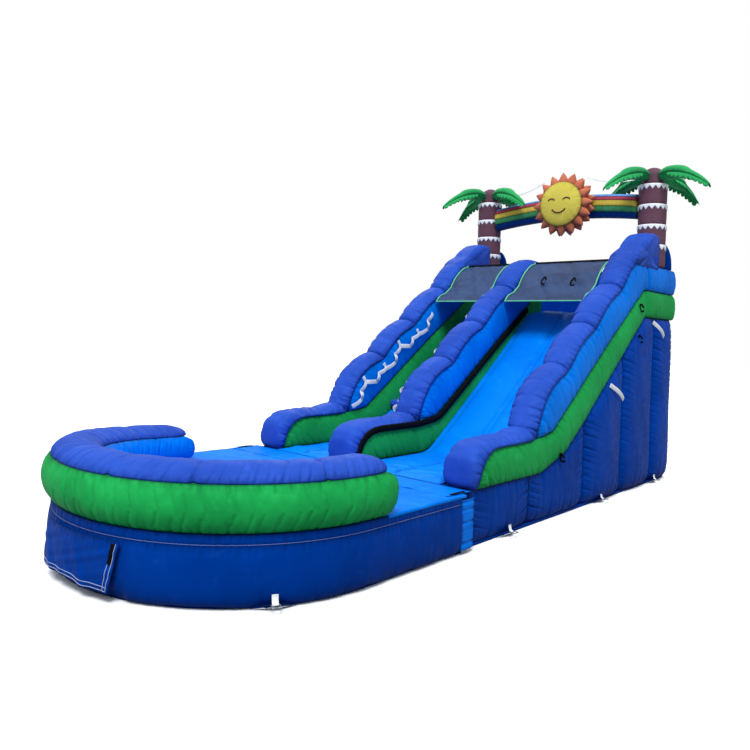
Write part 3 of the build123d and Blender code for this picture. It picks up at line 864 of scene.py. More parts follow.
def canopy(lane):
    """Mesh sheet laced to the wall seams, sagging and wrinkled between them."""
    node = f"{lane}_canopy"
    lo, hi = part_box(f"{node}_binding")
    t = np.linspace(0, 1, 90)
    u = np.linspace(0, 1, 70)
    y = lo.y + (hi.y - lo.y) * t
    straight = lo.z + 0.006 + (hi.z - lo.z - 0.012) * t
    laced = np.clip(np.minimum(t, 1 - t) / 0.12, 0, 1)
    edge = straight + laced * np.clip(seam_height(y) + 0.012 - straight, -0.03, 0.09)
    hold = np.abs(2 * u - 1) ** 4
    z = straight[:, None] * (1 - hold)[None, :] + edge[:, None] * hold[None, :]
    belly = np.outer(np.sin(math.pi * t) ** 0.8, full(u, 0.8))
    z -= 0.035 * belly
    wide = hi.x - lo.x
    fan = ripple(u[None, :] * wide * 0.9 + 0.55 * t[:, None], 0.24, 1.0 + wide)
    drag = ripple(t[:, None] * 0.9 + 0.35 * np.abs(2 * u - 1)[None, :] ** 2, 0.27, 2.0 + wide)
    z += belly**0.5 * (0.017 * fan + 0.012 * drag)
    grid = spread((lo.x + 0.001 + (wide - 0.002) * u)[None, :], y[:, None], z)
    under = grid - [0, -0.0016, 0.0024]
    run = np.hypot(hi.y - lo.y, hi.z - lo.z)
    uv = spread(wide * u[None, :], run * t[:, None])
    pad(f"{node}_net", grid, under, "mesh", ROOT, node, uv)
    lift = np.array([0, -0.004, 0.005])
    inset = np.array([0.006, 0, 0])
    sides = {"front": grid[0], "left": grid[:, 0] + inset, "right": grid[:, -1] - inset}
    for name, path in sides.items():
        cord(f"{node}_binding_{name}", path + lift, 0.0085, "mint", f"{node}_binding")
    ribbon(f"{node}_top_hem", grid[-1] + lift, (0, -0.8, -0.6), 0.04, "black", ROOT, f"{node}_binding")
    return grid


slide_sheet = canopy("slide")
canopy("climb")


def toggle(name, middle, tilt, size):
    """Small black elastic loop."""
    t = np.linspace(0.1, 1.75 * math.pi, 30)
    path = np.stack([size * 0.45 * np.cos(t), 0 * t - 0.006 * np.sin(t * 2), size * np.sin(t)], 1)
    turn = np.array(Matrix.Rotation(tilt, 3, "X"))
    cord(name, path @ turn.T + np.array(middle), 0.011, "black")


CANOPY_TOGGLES = (0.34, 0.72)  # shares of the slide canopy's width
middle_row = slide_sheet[len(slide_sheet) // 2]
for number, share in enumerate(CANOPY_TOGGLES, 1):
    spot = middle_row[int((len(middle_row) - 1) * share)]
    toggle(f"canopy_toggle_{number}", spot + np.array([0, -0.035, 0.03]), -0.6, 0.06)

# ---------------------------------------------------------------- palms, beam and sun


BAND_TOPS = (3.145, 3.416, 3.687, 3.958)  # Z at which the toothed bands are sewn on


def trunk(side):
    """Palm trunk blown up between sewn rings, with a gathered round top."""
    node = f"{side}_trunk"
    lo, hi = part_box(node)
    middle = ((lo.x + hi.x) / 2, (lo.y + hi.y) / 2, 0)
    radius = (hi.x - lo.x) / 2
    z = np.linspace(lo.z, hi.z, 150)
    folds = [lo.z, *BAND_TOPS]
    rise, near = ribs(z, folds + [hi.z], 0.35)
    neck = np.where(z > folds[-1] + 0.005, 0.80, 1.0)
    radii = (radius - 0.012 + 0.011 * rise) * neck * soft_end(hi.z - z, 0.13, 0.02, 2.2)

    def shake(angles, row):
        folded = gathers(angles * radius, near[row], 0.006, 0.05, 0.03, 2.0)
        crown = gathers(angles * radius, hi.z - z[row], 0.012, 0.07, 0.07, 3.0)
        return -(folded + crown) * (radii[row] / radius)

    rings = revolve(middle, (0, 0, 1), radii, z, 88, shake)
    around = turns_of(88) * radius
    uv = spread(around[None], near[:, None])
    loft(f"{side}_trunk_skin", rings, "brown", ROOT, node, uv)
    for number, top_z in enumerate(folds[1:], 1):
        zigzag(f"{side}_band_{number}", middle, radius + 0.001, top_z, 15)


def zigzag(name, middle, radius, top, points):
    """White band with a toothed lower edge, lying on a trunk."""
    per = 8
    angles = turns_of(points * per)
    wave = np.abs(((np.arange(points * per) / per) % 1) * 2 - 1)
    low = top - 0.028 - 0.048 * wave
    rows = np.linspace(0, 1, 7)
    z = top + (low - top)[None, :] * rows[:, None]
    puff = 0.004 * full(rows, 0.6)[:, None]
    outer, inner = (
        spread(middle[0] + reach * np.cos(angles), middle[1] + reach * np.sin(angles), z)
        for reach in (radius + 0.002 + puff, radius - 0.012)
    )
    rings = np.concatenate([outer, inner[::-1]], 0)
    faces = grid_faces(len(rings), len(angles), wrap_rows=True, wrap_columns=True)
    piece(name, rings, faces, "white", ROOT, "trunk_bands")


def leaf(name, node, root, heading, length, drop, seed):
    """Padded rib that arches out and down, with a toothed skirt on both sides."""
    out = np.array([math.cos(heading), math.sin(heading), 0.0])
    sideways = np.array([-math.sin(heading), math.cos(heading), 0.0])
    up = np.array([0.0, 0.0, 1.0])
    t = np.linspace(0, 1, 70)
    height = 0.22 * drop * np.sin(math.pi * t * 0.9) - drop * t**1.6
    spine = root + out * (length * t)[:, None] + up * height[:, None]
    neck = 1 / (1 + np.exp((t - 0.56) / 0.03))
    fat = np.clip(1 - t**3.6, 0.02, 1) ** 0.6 * (0.62 + 0.38 * neck) * np.clip(0.75 + t * 2, 0, 1)
    angles = turns_of(36)
    away = np.abs(np.sin(angles))[None] * 0.06
    dent = gathers(t[:, None] * length, away, 0.006, 0.07, 0.03, seed)
    wide, tall = 0.098 * fat[:, None] - dent, 0.088 * fat[:, None] - dent
    rings = spine[:, None] + sideways * (wide * np.cos(angles))[..., None]
    rings += up * (tall * np.sin(angles))[..., None]
    uv = spread((t * length)[:, None], away)
    loft(f"{name}_rib", rings, "leaf", ROOT, node, uv)
    teeth, steps = 9, 8
    count = teeth * steps + 1
    s = np.linspace(0.22, 0.985, count)
    base = np.stack([np.interp(s, t, spine[:, k]) for k in range(3)], 1)
    narrow = np.interp(s, t, 0.092 * fat)
    tooth = (np.arange(count) / steps) % 1
    hang = 0.062 + 0.044 * np.sin(math.pi * tooth) ** 0.7
    hang *= np.interp(s, [0.22, 0.4, 1], [0.6, 1.0, 0.55])
    for sign, tag in ((-1, "a"), (1, "b")):
        rows = np.linspace(0, 1, 5)
        start = base + sideways * (sign * narrow * 0.86)[:, None] - up * 0.004
        flap = sideways * sign * 0.55 - up * 0.85
        sheet = start[:, None] + flap * (hang[:, None] * rows[None, :])[..., None]
        sheet = sheet + sideways * (sign * 0.01 * np.sin(rows * math.pi))[None, :, None]
        under = sheet - up * 0.003 - sideways * sign * 0.003
        pad(f"{name}_skirt_{tag}", sheet, under, "leaf", ROOT, node)


def leaves(side):
    """Four leaves round a trunk, pointing where the CAD leaves point."""
    lo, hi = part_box(f"{side}_trunk")
    node = f"{side}_fronds"
    axis = np.array([(lo.x + hi.x) / 2, (lo.y + hi.y) / 2])
    points = corners_of(node)
    flat = points[:, :2] - axis
    reach = np.linalg.norm(flat, axis=1)
    tips = reach > reach.max() - 0.004
    turn = np.degrees(np.arctan2(flat[tips, 1], flat[tips, 0])) % 90
    start = math.radians(float(np.mean(np.sort(turn))))
    radius = (hi.x - lo.x) / 2
    height = points[reach < radius + 0.03][:, 2].mean()
    drop = height - points[tips][:, 2].mean()
    inset = radius * 0.78
    for i in range(4):
        heading = start + i * math.pi / 2
        root = np.array([*axis, height])
        root += inset * np.array([math.cos(heading), math.sin(heading), 0])
        length = reach.max() - inset
        leaf(f"{side}_leaf_{i + 1}", node, root, heading, length, drop, i + len(side))


for side in ("left", "right"):
    trunk(side)
    leaves(side)


def beam():
    """Rainbow beam: five padded colours round one thick arched bar between the trunks."""
    names = ("navy", "green", "yellow", "red", "sky")
    low, low_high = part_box("rainbow_navy")
    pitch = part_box("rainbow_green")[0].z - low.z
    rise = (low_high.z - low.z) - pitch + 0.003
    total = 5 * pitch
    x = np.linspace(low.x, low_high.x, 150)
    arch = rise * (1 - (x / low_high.x) ** 2)
    deep = (low_high.y - low.y) / 2
    middle = (low_high.y + low.y) / 2
    edges = np.array([0, 0.22, 0.46, 0.70, 0.86, 1.0])
    for band, name in enumerate(names):
        a, b = edges[band], edges[band + 1]
        w = np.linspace(0, 1, 16)
        level = a + (b - a) * w
        reach = deep * np.clip(1 - np.abs(2 * level - 1) ** 2.7, 0.0, 1) ** 0.5
        pinch = 0.010 * (1 - full(w, 0.5))
        pinch = pinch * (level > 0.02) * (level < 0.98)
        along = x[:, None]
        edge = np.minimum(w, 1 - w)[None, :] * (b - a) * total
        dent = gathers(along, edge, 0.007, 0.05, 0.04, band)
        dent += gathers(along, edge, 0.005, 0.14, 0.08, band + 3)
        dent *= np.clip(reach / deep, 0, 1)[None, :]
        half = np.clip((reach - pinch)[None, :] - dent, 0.001, 1)
        z = low.z + arch[:, None] + total * level[None, :]
        front, back = (spread(along, middle + face * half, z) for face in (-1, 1))
        uv = spread(along, edge)
        rings = np.concatenate([front, back[:, ::-1]], 1)
        seam = np.concatenate([uv, uv[:, ::-1]], 1)
        look = "beam_green" if name == "green" else name
        loft(f"rainbow_{name}_skin", rings, look, ROOT, f"rainbow_{name}", seam)


beam()


def sun():
    """Padded disc with a plain face, in a ring of cone-shaped rays two rows deep."""
    lo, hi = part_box("sun_disc")
    middle = np.array([(lo.x + hi.x) / 2, 0, (lo.z + hi.z) / 2])
    radius = (hi.x - lo.x) / 2 * 0.96
    t = np.linspace(0, 1, 40)
    radii = radius * np.sin(t * math.pi / 2) ** 0.9 + 0.0005

    def dome(distance):
        """Y of the padded face at a distance from its middle."""
        share = np.clip(distance / (radius * 1.02), 0, 0.999)
        return lo.y + 0.052 - 0.075 * np.sqrt(1 - share**2)

    def shake(angles, row):
        return -gathers(angles * radius, radius - radii[row], 0.010, 0.06, 0.06, 1.0) * t[row]

    front = revolve(middle, (0, 1, 0), radii, dome(radii), 120, shake)
    back = revolve(middle, (0, 1, 0), [radius * 0.98, radius * 0.9], [hi.y - 0.02, hi.y], 120)
    rings = np.concatenate([front, back])
    around = turns_of(120) * radius
    rim = np.concatenate([radius - radii, [0, 0.02]])
    uv = spread(around[None], rim[:, None])
    loft("sun_face_disc", rings, "sun", ROOT, "sun_disc", uv)

    def on_face(x, z):
        return np.stack([middle[0] + x, dome(np.hypot(x, z)) - 0.003, middle[2] + z], -1)

    arc = np.linspace(0.12 * math.pi, 0.88 * math.pi, 26)
    for sign, tag in SIDES:
        path = on_face(sign * 0.115 + 0.055 * np.cos(arc), 0.035 + 0.04 * np.sin(arc))
        cord(f"sun_eye_{tag}", path, 0.0075, "face")
    smile = np.linspace(1.18 * math.pi, 1.82 * math.pi, 30)
    cord("sun_smile", on_face(0.12 * np.cos(smile), -0.02 + 0.11 * np.sin(smile)), 0.0085, "face")

    ray_lo, ray_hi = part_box("sun_rays")
    tip = (ray_hi.x - ray_lo.x) / 2
    count = 16
    hub_y = np.linspace(ray_lo.y, ray_hi.y, 30)
    hub_t = np.linspace(-1, 1, 30)
    hub_r = radius + 0.004 + 0.028 * (1 - hub_t**4)
    hub = revolve(middle, (0, 1, 0), hub_r, hub_y, 120)
    inner = revolve(middle, (0, 1, 0), 0 * hub_r + radius - 0.05, hub_y, 120)
    faces = grid_faces(60, 120, wrap_rows=True, wrap_columns=True)
    piece("sun_ray_hub", np.concatenate([hub, inner[::-1]]), faces, "ray", ROOT, "sun_rays")
    depth = ray_hi.y - ray_lo.y
    for row, (share, shift, reach) in enumerate(((0.26, 0.0, tip), (0.74, 0.5, tip - 0.01))):
        for i in range(count):
            angle = 2 * math.pi * (i + shift) / count
            y = ray_lo.y + depth * share
            ray(f"sun_ray_{row + 1}_{i + 1}", middle, angle, radius, reach, y, row)


def ray(name, middle, angle, inner, outer, y, row):
    """One cone-shaped ray standing on the rim."""
    out = np.array([math.cos(angle), 0, math.sin(angle)])
    side = np.array([-math.sin(angle), 0, math.cos(angle)])
    axial = np.array([0.0, 1.0, 0.0])
    t = np.linspace(0, 1, 16)
    shrink = np.clip(1 - t**1.25, 0.02, 1) ** 0.8
    turns = turns_of(20)
    c, s = np.cos(turns), np.sin(turns)
    wide, deep = 0.078, 0.070
    ridge = 1 + 0.10 * np.abs(c * s) ** 0.5
    spine = middle + out * (inner - 0.01 + (outer - inner + 0.005) * t)[:, None] + axial * y
    spine = spine - axial * (0.02 * t * (1 if row == 0 else -0.4))[:, None]
    rings = spine[:, None] + side * (shrink[:, None] * wide * c * ridge)[..., None]
    rings = rings + axial * (shrink[:, None] * deep * s * ridge)[..., None]
    uv = spread((turns * 0.06)[None], (t * 0.13)[:, None])
    loft(name, rings, "ray", ROOT, "sun_rays", uv)


sun()


def ties():
    """Slack straps from the ring of rays to the trunks."""
    points = corners_of("sun_ties")
    for sign, tag in SIDES:
        own = points[(points[:, 0] - points[:, 0].mean()) * sign > 0]
        near = own[np.argmin(own[:, 0] * sign)]
        far = own[np.argmax(own[:, 0] * sign)]
        t = np.linspace(0, 1, 30)[:, None]
        path = near + (far - near) * t - np.array([0, 0, 0.05]) * (4 * t * (1 - t))
        ribbon(f"sun_tie_{tag}", path, (0, 0.3, 1), 0.032, "webbing", ROOT, "sun_ties")


ties()

# ---------------------------------------------------------------- straps on the slide unit


def handles():
    """Zig-zag webbing handles on the climb lane's walls, bowed out between their stitched corners."""
    points = corners_of("handle_straps")
    middle = points[:, 0].mean()
    for sign, tag in ((-1, "left"), (1, "centre")):
        own = points[(points[:, 0] - middle) * sign > 0]
        own = own[np.argsort(own[:, 1])]
        splits = np.where(np.diff(own[:, 1]) > 0.1)[0] + 1
        knots = np.array([part[:, 1:].mean(0) for part in np.split(own, splits)])
        turns = []
        for a, b in zip(knots, knots[1:]):
            step = b - a
            turns += [a, a + step * 0.45 + np.array([step[1], -step[0]]) * 0.20, a + step * 0.62]
        turns.append(knots[-1])
        path2 = np.array(turns)
        line = resample(path2, 200, 1)
        rise, _ = ribs(lengths(line), list(lengths(path2) * lengths(line)[-1] / lengths(path2)[-1]), 0.8)
        bow = 0.095 if sign > 0 else 0.024
        x = own[:, 0].mean() - sign * (0.006 + bow * rise)
        path = np.stack([x, line[:, 0], line[:, 1]], 1)
        across = np.insert(normals_of(line), 0, 0, axis=1)
        ribbon(f"handle_strap_{tag}", path, across, 0.055, "webbing", ROOT, "handle_straps")
        slope = (knots[-1] - knots[0]) / np.linalg.norm(knots[-1] - knots[0])
        for number, knot in enumerate(knots[1:-1], 1):
            t = np.linspace(0, 1, 8)[:, None]
            tab = knot + np.array([-slope[1], slope[0]]) * 0.085 * t
            tab = np.concatenate([0 * t + own[:, 0].mean() - sign * 0.010, tab], 1)
            ribbon(f"handle_tab_{tag}_{number}", tab, (0, *slope), 0.045, "webbing", ROOT)


handles()


STRIP_END = 3.4  # Y at which the black strip goes in under the canopy


def at_x(x, yz):
    """Points (x, y, z) with one X."""
    return np.insert(yz, 0, x, axis=1)


def centre_strip():
    """Black strip over the tube's upper seam, as far up as the canopy."""
    line = resample(wall_lines("centre_wall_tube")[1], 200, 3)
    line = line[line[:, 0] < STRIP_END]
    normal = normals_of(line)
    path = at_x(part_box("centre_wall_tube")[1].x + 0.002, line - normal * 0.008)
    across = at_x(0.12, normal)
    ribbon("centre_wall_black_strip", path, across, 0.074, "black", ROOT, "centre_strip", 0.03)


centre_strip()


def tethers():
    """Short white straps on the sides."""
    points = corners_of("upper_tethers")
    order = 0
    for sign, _ in SIDES:
        own = points[points[:, 0] * sign > 0]
        split = (own[:, 1].min() + own[:, 1].max()) / 2
        for part in (own[own[:, 1] < split], own[own[:, 1] > split]):
            order += 1
            start = part[part[:, 1] < part[:, 1].min() + 0.06].mean(0)
            end = part[part[:, 1] > part[:, 1].max() - 0.06].mean(0)
            t = np.linspace(0, 1, 24)[:, None]
            bow = np.array([0.03 * sign, 0, 0]) * np.sin(math.pi * t)
            bow += np.array([0.028 * sign, 0, -0.03]) * t + np.array([0.004 * sign, 0, 0])
            path = start + (end - start) * t + bow
            across = (0.35 * sign, 0.25, 1)
            ribbon(f"upper_tether_{order}", path, across, 0.05, "webbing", ROOT, "upper_tethers")


tethers()


SIDE_TOGGLES = ((1.6, 0.02), (3.59, -0.1), (3.60, 0.28))  # (Y, height above the body's edge)


def side_toggles():
    """Black elastic loops along the side's seams."""
    x = body_high.x + 0.012
    for number, (y, rise) in enumerate(SIDE_TOGGLES, 1):
        z = float(top_of_body(y)) + rise
        toggle(f"side_toggle_{number}", (x, y, z), 0.5, 0.05)


side_toggles()


GUSSET_LAP = 0.08  # how far the gusset reaches over the pool's end


def connector_strips():
    """Light-blue gusset between the slide unit and the pool, creased across."""
    lo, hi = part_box("connector_strips")
    z = np.linspace(lo.z, hi.z, 80)
    first = min(lo.y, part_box("pool_base")[1].y) - GUSSET_LAP
    y = np.linspace(first, hi.y, 24)
    share = (y - first) / (hi.y - first)
    for sign, tag in SIDES:
        near = np.minimum(share, 1 - share)[None, :] * (hi.y - first)
        out = (hi.x + 0.008 - 0.010 * share + 0.012 * full(share))[None, :]
        out = out - gathers(z[:, None], near, 0.016, 0.09, 0.06, 1.0)
        grid = spread(sign * out, y[None, :], z[:, None])
        inner = grid - [0.004 * sign, 0, 0]
        uv = spread(z[:, None], near)
        pad(f"connector_strip_{tag}", grid, inner, "light", ROOT, "connector_strips", uv)


connector_strips()


def junction_cover():
    """Loose sheet over the gap between the units, folded at its corners."""
    lo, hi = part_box("junction_cover")
    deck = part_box("pool_liner")[1].z
    x = np.linspace(lo.x, hi.x, 180)
    y = np.linspace(lo.y, hi.y + 0.014, 40)
    share = np.clip((hi.y - y) / (hi.y - lo.y), 0, 1)
    wave = ripple(x[:, None] + 0.5 * y[None, :], 0.3, 1.0)
    wave += 0.7 * ripple(x[:, None] - 0.8 * y[None, :], 0.17, 4.0)
    z = hi.z + (deck + 0.003 - hi.z) * share[None, :] ** 3
    z = z + 0.003 * share[None, :] * np.clip(1 + wave, 0, 3)
    side = np.clip((np.abs(x) - (hi.x - 0.05)) / 0.05, 0, 1)
    z = z + 0.008 * side[:, None] * share[None, :]
    edge = 0.012 * ripple(x, 0.4, 2.0)[:, None] * share[None, :]
    grid = spread(x[:, None], y[None, :] + edge, z)
    uv = spread(x[:, None], share[None, :] * 0.3)
    body = "junction_cover"
    pad("junction_cover_sheet", grid, grid - [0, 0, 0.003], "light", body, "junction_cover", uv)
    for sign, tag in SIDES:
        end = grid[0 if sign < 0 else -1]
        path = end[6:30] + np.array([-sign * 0.02, 0, 0.004])
        ribbon(f"junction_tape_{tag}", path, (1, 0, 0), 0.04, "black", body)


junction_cover()

# ---------------------------------------------------------------- pool

pool_low, pool_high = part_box("pool_base")
pool_radius = pool_high.x
pool_middle_y = pool_low.y + pool_radius


def horseshoe(radius, end_y, count):
    """(points, outward normals, distance along) of a plan line round the pool."""
    straight = end_y - pool_middle_y
    arc = math.pi * radius
    along = np.linspace(0, 2 * straight + arc, count)
    angle = np.clip((along - straight) / radius, 0, math.pi)
    before, after = np.clip(straight - along, 0, None), np.clip(along - straight - arc, 0, None)
    normals = np.stack([np.cos(angle), -np.sin(angle)], 1)
    points = normals * radius
    points[:, 1] += pool_middle_y + before + after
    return points, normals, along


def stitching(name, path, across, body, width=0.0045, look="pale_thread"):
    """Raised line of thread."""
    ribbon(name, path, across, width, look, body, None, 0.002)


def pool_wall():
    """Deep-blue side of the pool: gathered band on top, full belly, hem tucked under."""
    top = pool_high.z
    band = top - 0.07
    plan, normal, along = horseshoe(pool_radius, pool_high.y - GUSSET_LAP, 620)
    z = np.linspace(0, top, 60)
    belly = np.where(z < band, full(z / band, 0.45), 0.30 * full(np.clip((z - band) / 0.07, 0, 1), 0.5))
    out = (-0.030 + 0.029 * belly - 0.045 * np.exp(-z / 0.028))[None, :] + 0 * along[:, None]
    from_seam = np.minimum(np.abs(z - band), np.abs(top - z))
    out -= gathers(along[:, None], from_seam[None, :], 0.010, 0.045, 0.045, 1.0) * (z > band - 0.06)[None, :]
    out -= gathers(along[:, None], np.abs(z - band)[None, :], 0.006, 0.21, 0.16, 2.0)
    out -= gathers(along[:, None], z[None, :], 0.020, 0.55, 0.09, 3.0)
    out -= gathers(along[:, None], z[None, :], 0.008, 0.12, 0.06, 4.0)
    lift = 0.022 * np.clip(ripple(along, 0.62, 5.0), 0, 1)[:, None] * np.exp(-z / 0.03)[None, :]
    flat = plan[:, None] + normal[:, None] * out[..., None]
    grid = np.concatenate([flat, (z[None, :] + lift)[..., None]], 2)
    inner = grid.copy()
    inner[..., :2] = (plan - normal * 0.12)[:, None]
    uv = spread(along[:, None], from_seam[None, :])
    pad("pool_wall_skin", grid, inner, "deep", POOL, "pool_base", uv)
    row = grid[:, np.argmin(np.abs(z - band))] + np.insert(normal * 0.002, 2, 0, axis=1)
    stitching("pool_wall_stitching", row, (0, 0, 1), POOL, 0.005, "thread")


def pool_end():
    """Upright end of the pool that faces the slide unit."""
    x = np.linspace(-pool_radius + 0.06, pool_radius - 0.06, 80)
    z = np.linspace(0, pool_high.z, 24)
    dent = 0.008 * np.abs(ripple(x, 0.4, 1.0))[:, None] * full(z / pool_high.z)[None, :]
    grid = spread(x[:, None], pool_high.y - 0.006 - dent, z[None, :])
    pad("pool_end_skin", grid, grid - [0, 0.08, 0], "deep", POOL, "pool_base")


def pool_plan(edge, end_y, rows, columns, full_width):
    """Grid of points filling the pool's plan out to a radius."""
    y = np.linspace(pool_middle_y - edge + 0.001, end_y, rows)
    inside = np.clip(edge**2 - np.clip(pool_middle_y - y, 0, edge) ** 2, 0, None)
    wide = np.sqrt(inside) + (full_width - edge) * np.clip((y - bumper_end + 0.12) / 0.06, 0, 1)
    t = np.linspace(-1, 1, columns)
    return spread(wide[:, None] * t[None, :], y[:, None])


def pool_floor():
    """Light-blue deck and pool floor with soft folds, and the sheet on the ground."""
    lo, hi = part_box("pool_liner")
    flat = pool_plan(bumper_middle + 0.06, hi.y, 160, 120, pool_radius - 0.022)
    x, y = flat[..., 0], flat[..., 1]
    folds = ripple(x + 0.4 * y, 0.45, 1.0) + ripple(y - 0.3 * x, 0.31, 2.0)
    folds += 0.6 * ripple(x - 0.9 * y, 0.19, 3.0)
    radius = np.hypot(x, np.clip(pool_middle_y - y, 0, None))
    loose = np.clip((bumper_inner - radius) / 0.12, 0.0, 1) + np.clip((y - bumper_end) / 0.1, 0, 1)
    z = hi.z - 0.001 + 0.004 * np.clip(loose, 0, 1) * (1 + folds * 0.6)
    top = np.concatenate([flat, z[..., None]], 2)
    under = top.copy()
    under[..., 2] = lo.z - 0.02
    pad("pool_floor_skin", top, under, "light", POOL, "pool_liner", spread(x, 0.2))
    base = pool_plan(pool_radius - 0.07, hi.y - 0.02, 60, 60, pool_radius - 0.07)
    sheet = spread(base[..., 0], base[..., 1], 0.02)
    pad("pool_ground_sheet", sheet, sheet - [0, 0, 0.02], "deep", POOL, "pool_base")


bump_low, bump_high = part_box("bumper_outer")
bumper_outer, bumper_end, bumper_seam = bump_high
bumper_bottom = bump_low.z
bumper_arms = corners_of("bumper_inner")
bumper_inner = float(np.abs(bumper_arms[bumper_arms[:, 1] > pool_middle_y + 0.01, 0]).min())
bumper_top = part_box("bumper_cap")[1].z
bumper_middle = (bumper_outer + bumper_inner) / 2


def bumper_part(part, look, section, seams_at, creases, crease_depth, seed, taper=0.11):
    """One padded strip of the bumper. section: closed (radius, z) loop; seams_at: its seam points."""
    plan, normal, along = horseshoe(bumper_middle, bumper_end, 560)
    centre = section.mean(0)
    edge = np.minimum(along, along[-1] - along)
    shrink = soft_end(edge, taper, 0.02, 2.3)
    shape = centre + (section - centre)[None] * shrink[:, None, None]
    if taper > 0.2:
        shape[..., 1] = bumper_seam + (section[None, :, 1] - bumper_seam) * shrink[:, None]
    away = np.min([np.linalg.norm(section - section[i], axis=1) for i in seams_at], axis=0)
    away, down = away[None, :], along[:, None]
    dent = gathers(down + 0.3 * away, away, 0.017, 0.085, 0.08, seed)
    dent += gathers(down + 0.15 * away, away, 0.013, 0.21, 0.15, seed + 2)
    for share in creases:
        gap = np.abs(along - share * along[-1])[:, None]
        dent += crease_depth * np.exp(-gap / 0.014) * np.exp(-away / 0.25)
    around = lengths(np.concatenate([section, section[:1]]))[None, 1:]
    dent += gathers(around, edge[:, None], 0.010, 0.05, 0.09, seed)
    shape = shape - unit(section - centre)[None] * (dent * shrink[:, None])[..., None]
    far = np.clip((along / along[-1] - 0.58) / 0.42, 0, 1)
    shape[..., 1] -= (shape[..., 1] - bumper_bottom) * (0.24 * far**2 * (3 - 2 * far))[:, None]
    flat = plan[:, None] + normal[:, None] * (shape[..., 0] - bumper_middle)[..., None]
    rings = np.concatenate([flat, shape[..., 1:]], 2)
    uv = spread(down, away)
    loft(f"bumper_{part}_skin", rings, look, POOL, f"bumper_{part}", uv)


def bumper():
    """Outer, inner and top chamber of the bumper, sewn to each other."""
    w = np.linspace(0, 1, 30)
    belly = full(w, 0.55)
    low, high = bumper_outer - 0.068, bumper_outer - 0.038
    inner_high = bumper_inner + 0.048
    tall = bumper_seam - bumper_bottom
    core = [(bumper_middle, bumper_seam), (bumper_middle, bumper_bottom - 0.004)]
    reach = low + (high - low) * w + 0.055 * belly
    outer = np.stack([reach, bumper_bottom - 0.006 + (tall + 0.008) * w], 1)
    bumper_part("outer", "green", np.concatenate([outer, core]), (0, 29), (), 0, 1.0)
    inner = np.stack([inner_high - 0.052 * belly, bumper_bottom - 0.004 + (tall + 0.006) * w], 1)
    creases = (0.1, 0.24, 0.4, 0.6, 0.76, 0.9)
    bumper_part("inner", "light", np.concatenate([inner, core]), (0, 29), creases, 0.012, 2.0)
    angle = np.linspace(0, math.pi, 36)
    c, s = np.cos(angle), np.sin(angle)
    reach = (high + inner_high) / 2 + (high - inner_high) / 2 * np.sign(c) * np.abs(c) ** 0.75
    cap = np.stack([reach, bumper_seam + 0.001 + (bumper_top - bumper_seam) * s**0.8], 1)
    creases = (0.13, 0.3, 0.42, 0.55, 0.69, 0.86)
    bumper_part("cap", "royal", cap, (0, 35), creases, 0.022, 3.0, 0.24)


pool_wall()
pool_end()
pool_floor()
bumper()


def zip_flap():
    """Curved cover over the pool's zip, hemmed with two rows of stitching, held by a black tab."""
    node = "pool_zip_flap"
    points = corners_of(node)
    bearing = np.arctan2(points[:, 0], pool_middle_y - points[:, 1])
    radius = np.hypot(points[:, 0], points[:, 1] - pool_middle_y).mean()
    a = np.linspace(bearing.min(), bearing.max(), 90)
    z0, z1 = points[:, 2].min(), points[:, 2].max()
    t = np.linspace(0, 1, 40)
    across = (a - a[0]) / (a[-1] - a[0])
    droop = -0.030 * across[:, None] ** 2 + 0.008 * ripple(across, 0.5, 1.0)[:, None]
    z = z0 + (z1 - z0) * t[None, :] + droop * (1 - t[None, :]) + 0.012 * (1 - t[None, :])
    along = (a - a[0])[:, None] * radius
    out = radius + 0.001 + (0.026 + 0.008 * ripple(along + 0.6 * z, 0.23, 1.0)) * (1 - t)[None, :] ** 0.7
    out = out + 0.004 * (1 + ripple(z - 0.3 * along, 0.11, 2.0)) * full(t, 0.7)[None, :]
    lean = a[:, None] - 0.040 * (1 - t)[None, :] * across[:, None]
    grid = spread(out * np.sin(lean), pool_middle_y - out * np.cos(lean), z)
    outward = np.stack([np.sin(a), -np.cos(a), 0 * a], 1)[:, None]
    uv = spread(along, np.minimum(t, 1 - t)[None, :] * (z1 - z0))
    pad("pool_zip_flap_sheet", grid, grid - outward * 0.003, "deep", node, node, uv)
    lifted = grid + outward * 0.0025
    for number, k in enumerate((2, 5), 1):
        stitching(f"flap_hem_stitching_{number}", lifted[2:-2, k], (0, 0, 1), node)
        stitching(f"flap_edge_stitching_{number}", lifted[-1 - k, 2:-2], (1, 0.3, 0), node)
    tab = grid[-5, 22:38] + outward[-5] * 0.004
    ribbon("flap_tab", tab, (1, 0.4, 0), 0.035, "black", node, None, 0.005)


zip_flap()


def rear_flap():
    """Flat cover over the rear zip, hemmed with two rows of stitching."""
    node = "rear_zip_flap"
    lo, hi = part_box(node)
    x = np.linspace(lo.x, hi.x, 90)
    z = np.linspace(lo.z, hi.z, 24)
    t = (hi.z - z) / (hi.z - lo.z)
    out = hi.y - 0.002 + 0.006 * t[None, :] * (1 + ripple(x[:, None] + 0.5 * z[None, :], 0.25, 1.0))
    grid = spread(x[:, None], out, z[None, :])
    uv = spread(x[:, None], t[None, :] * 0.14)
    pad("rear_zip_flap_sheet", grid, grid - [0, 0.003, 0], "deep", node, node, uv)
    for number, k in enumerate((2, 5), 1):
        path = grid[2:-2, k] + [0, 0.002, 0]
        stitching(f"rear_flap_stitching_{number}", path, (0, 0, 1), node)


rear_flap()


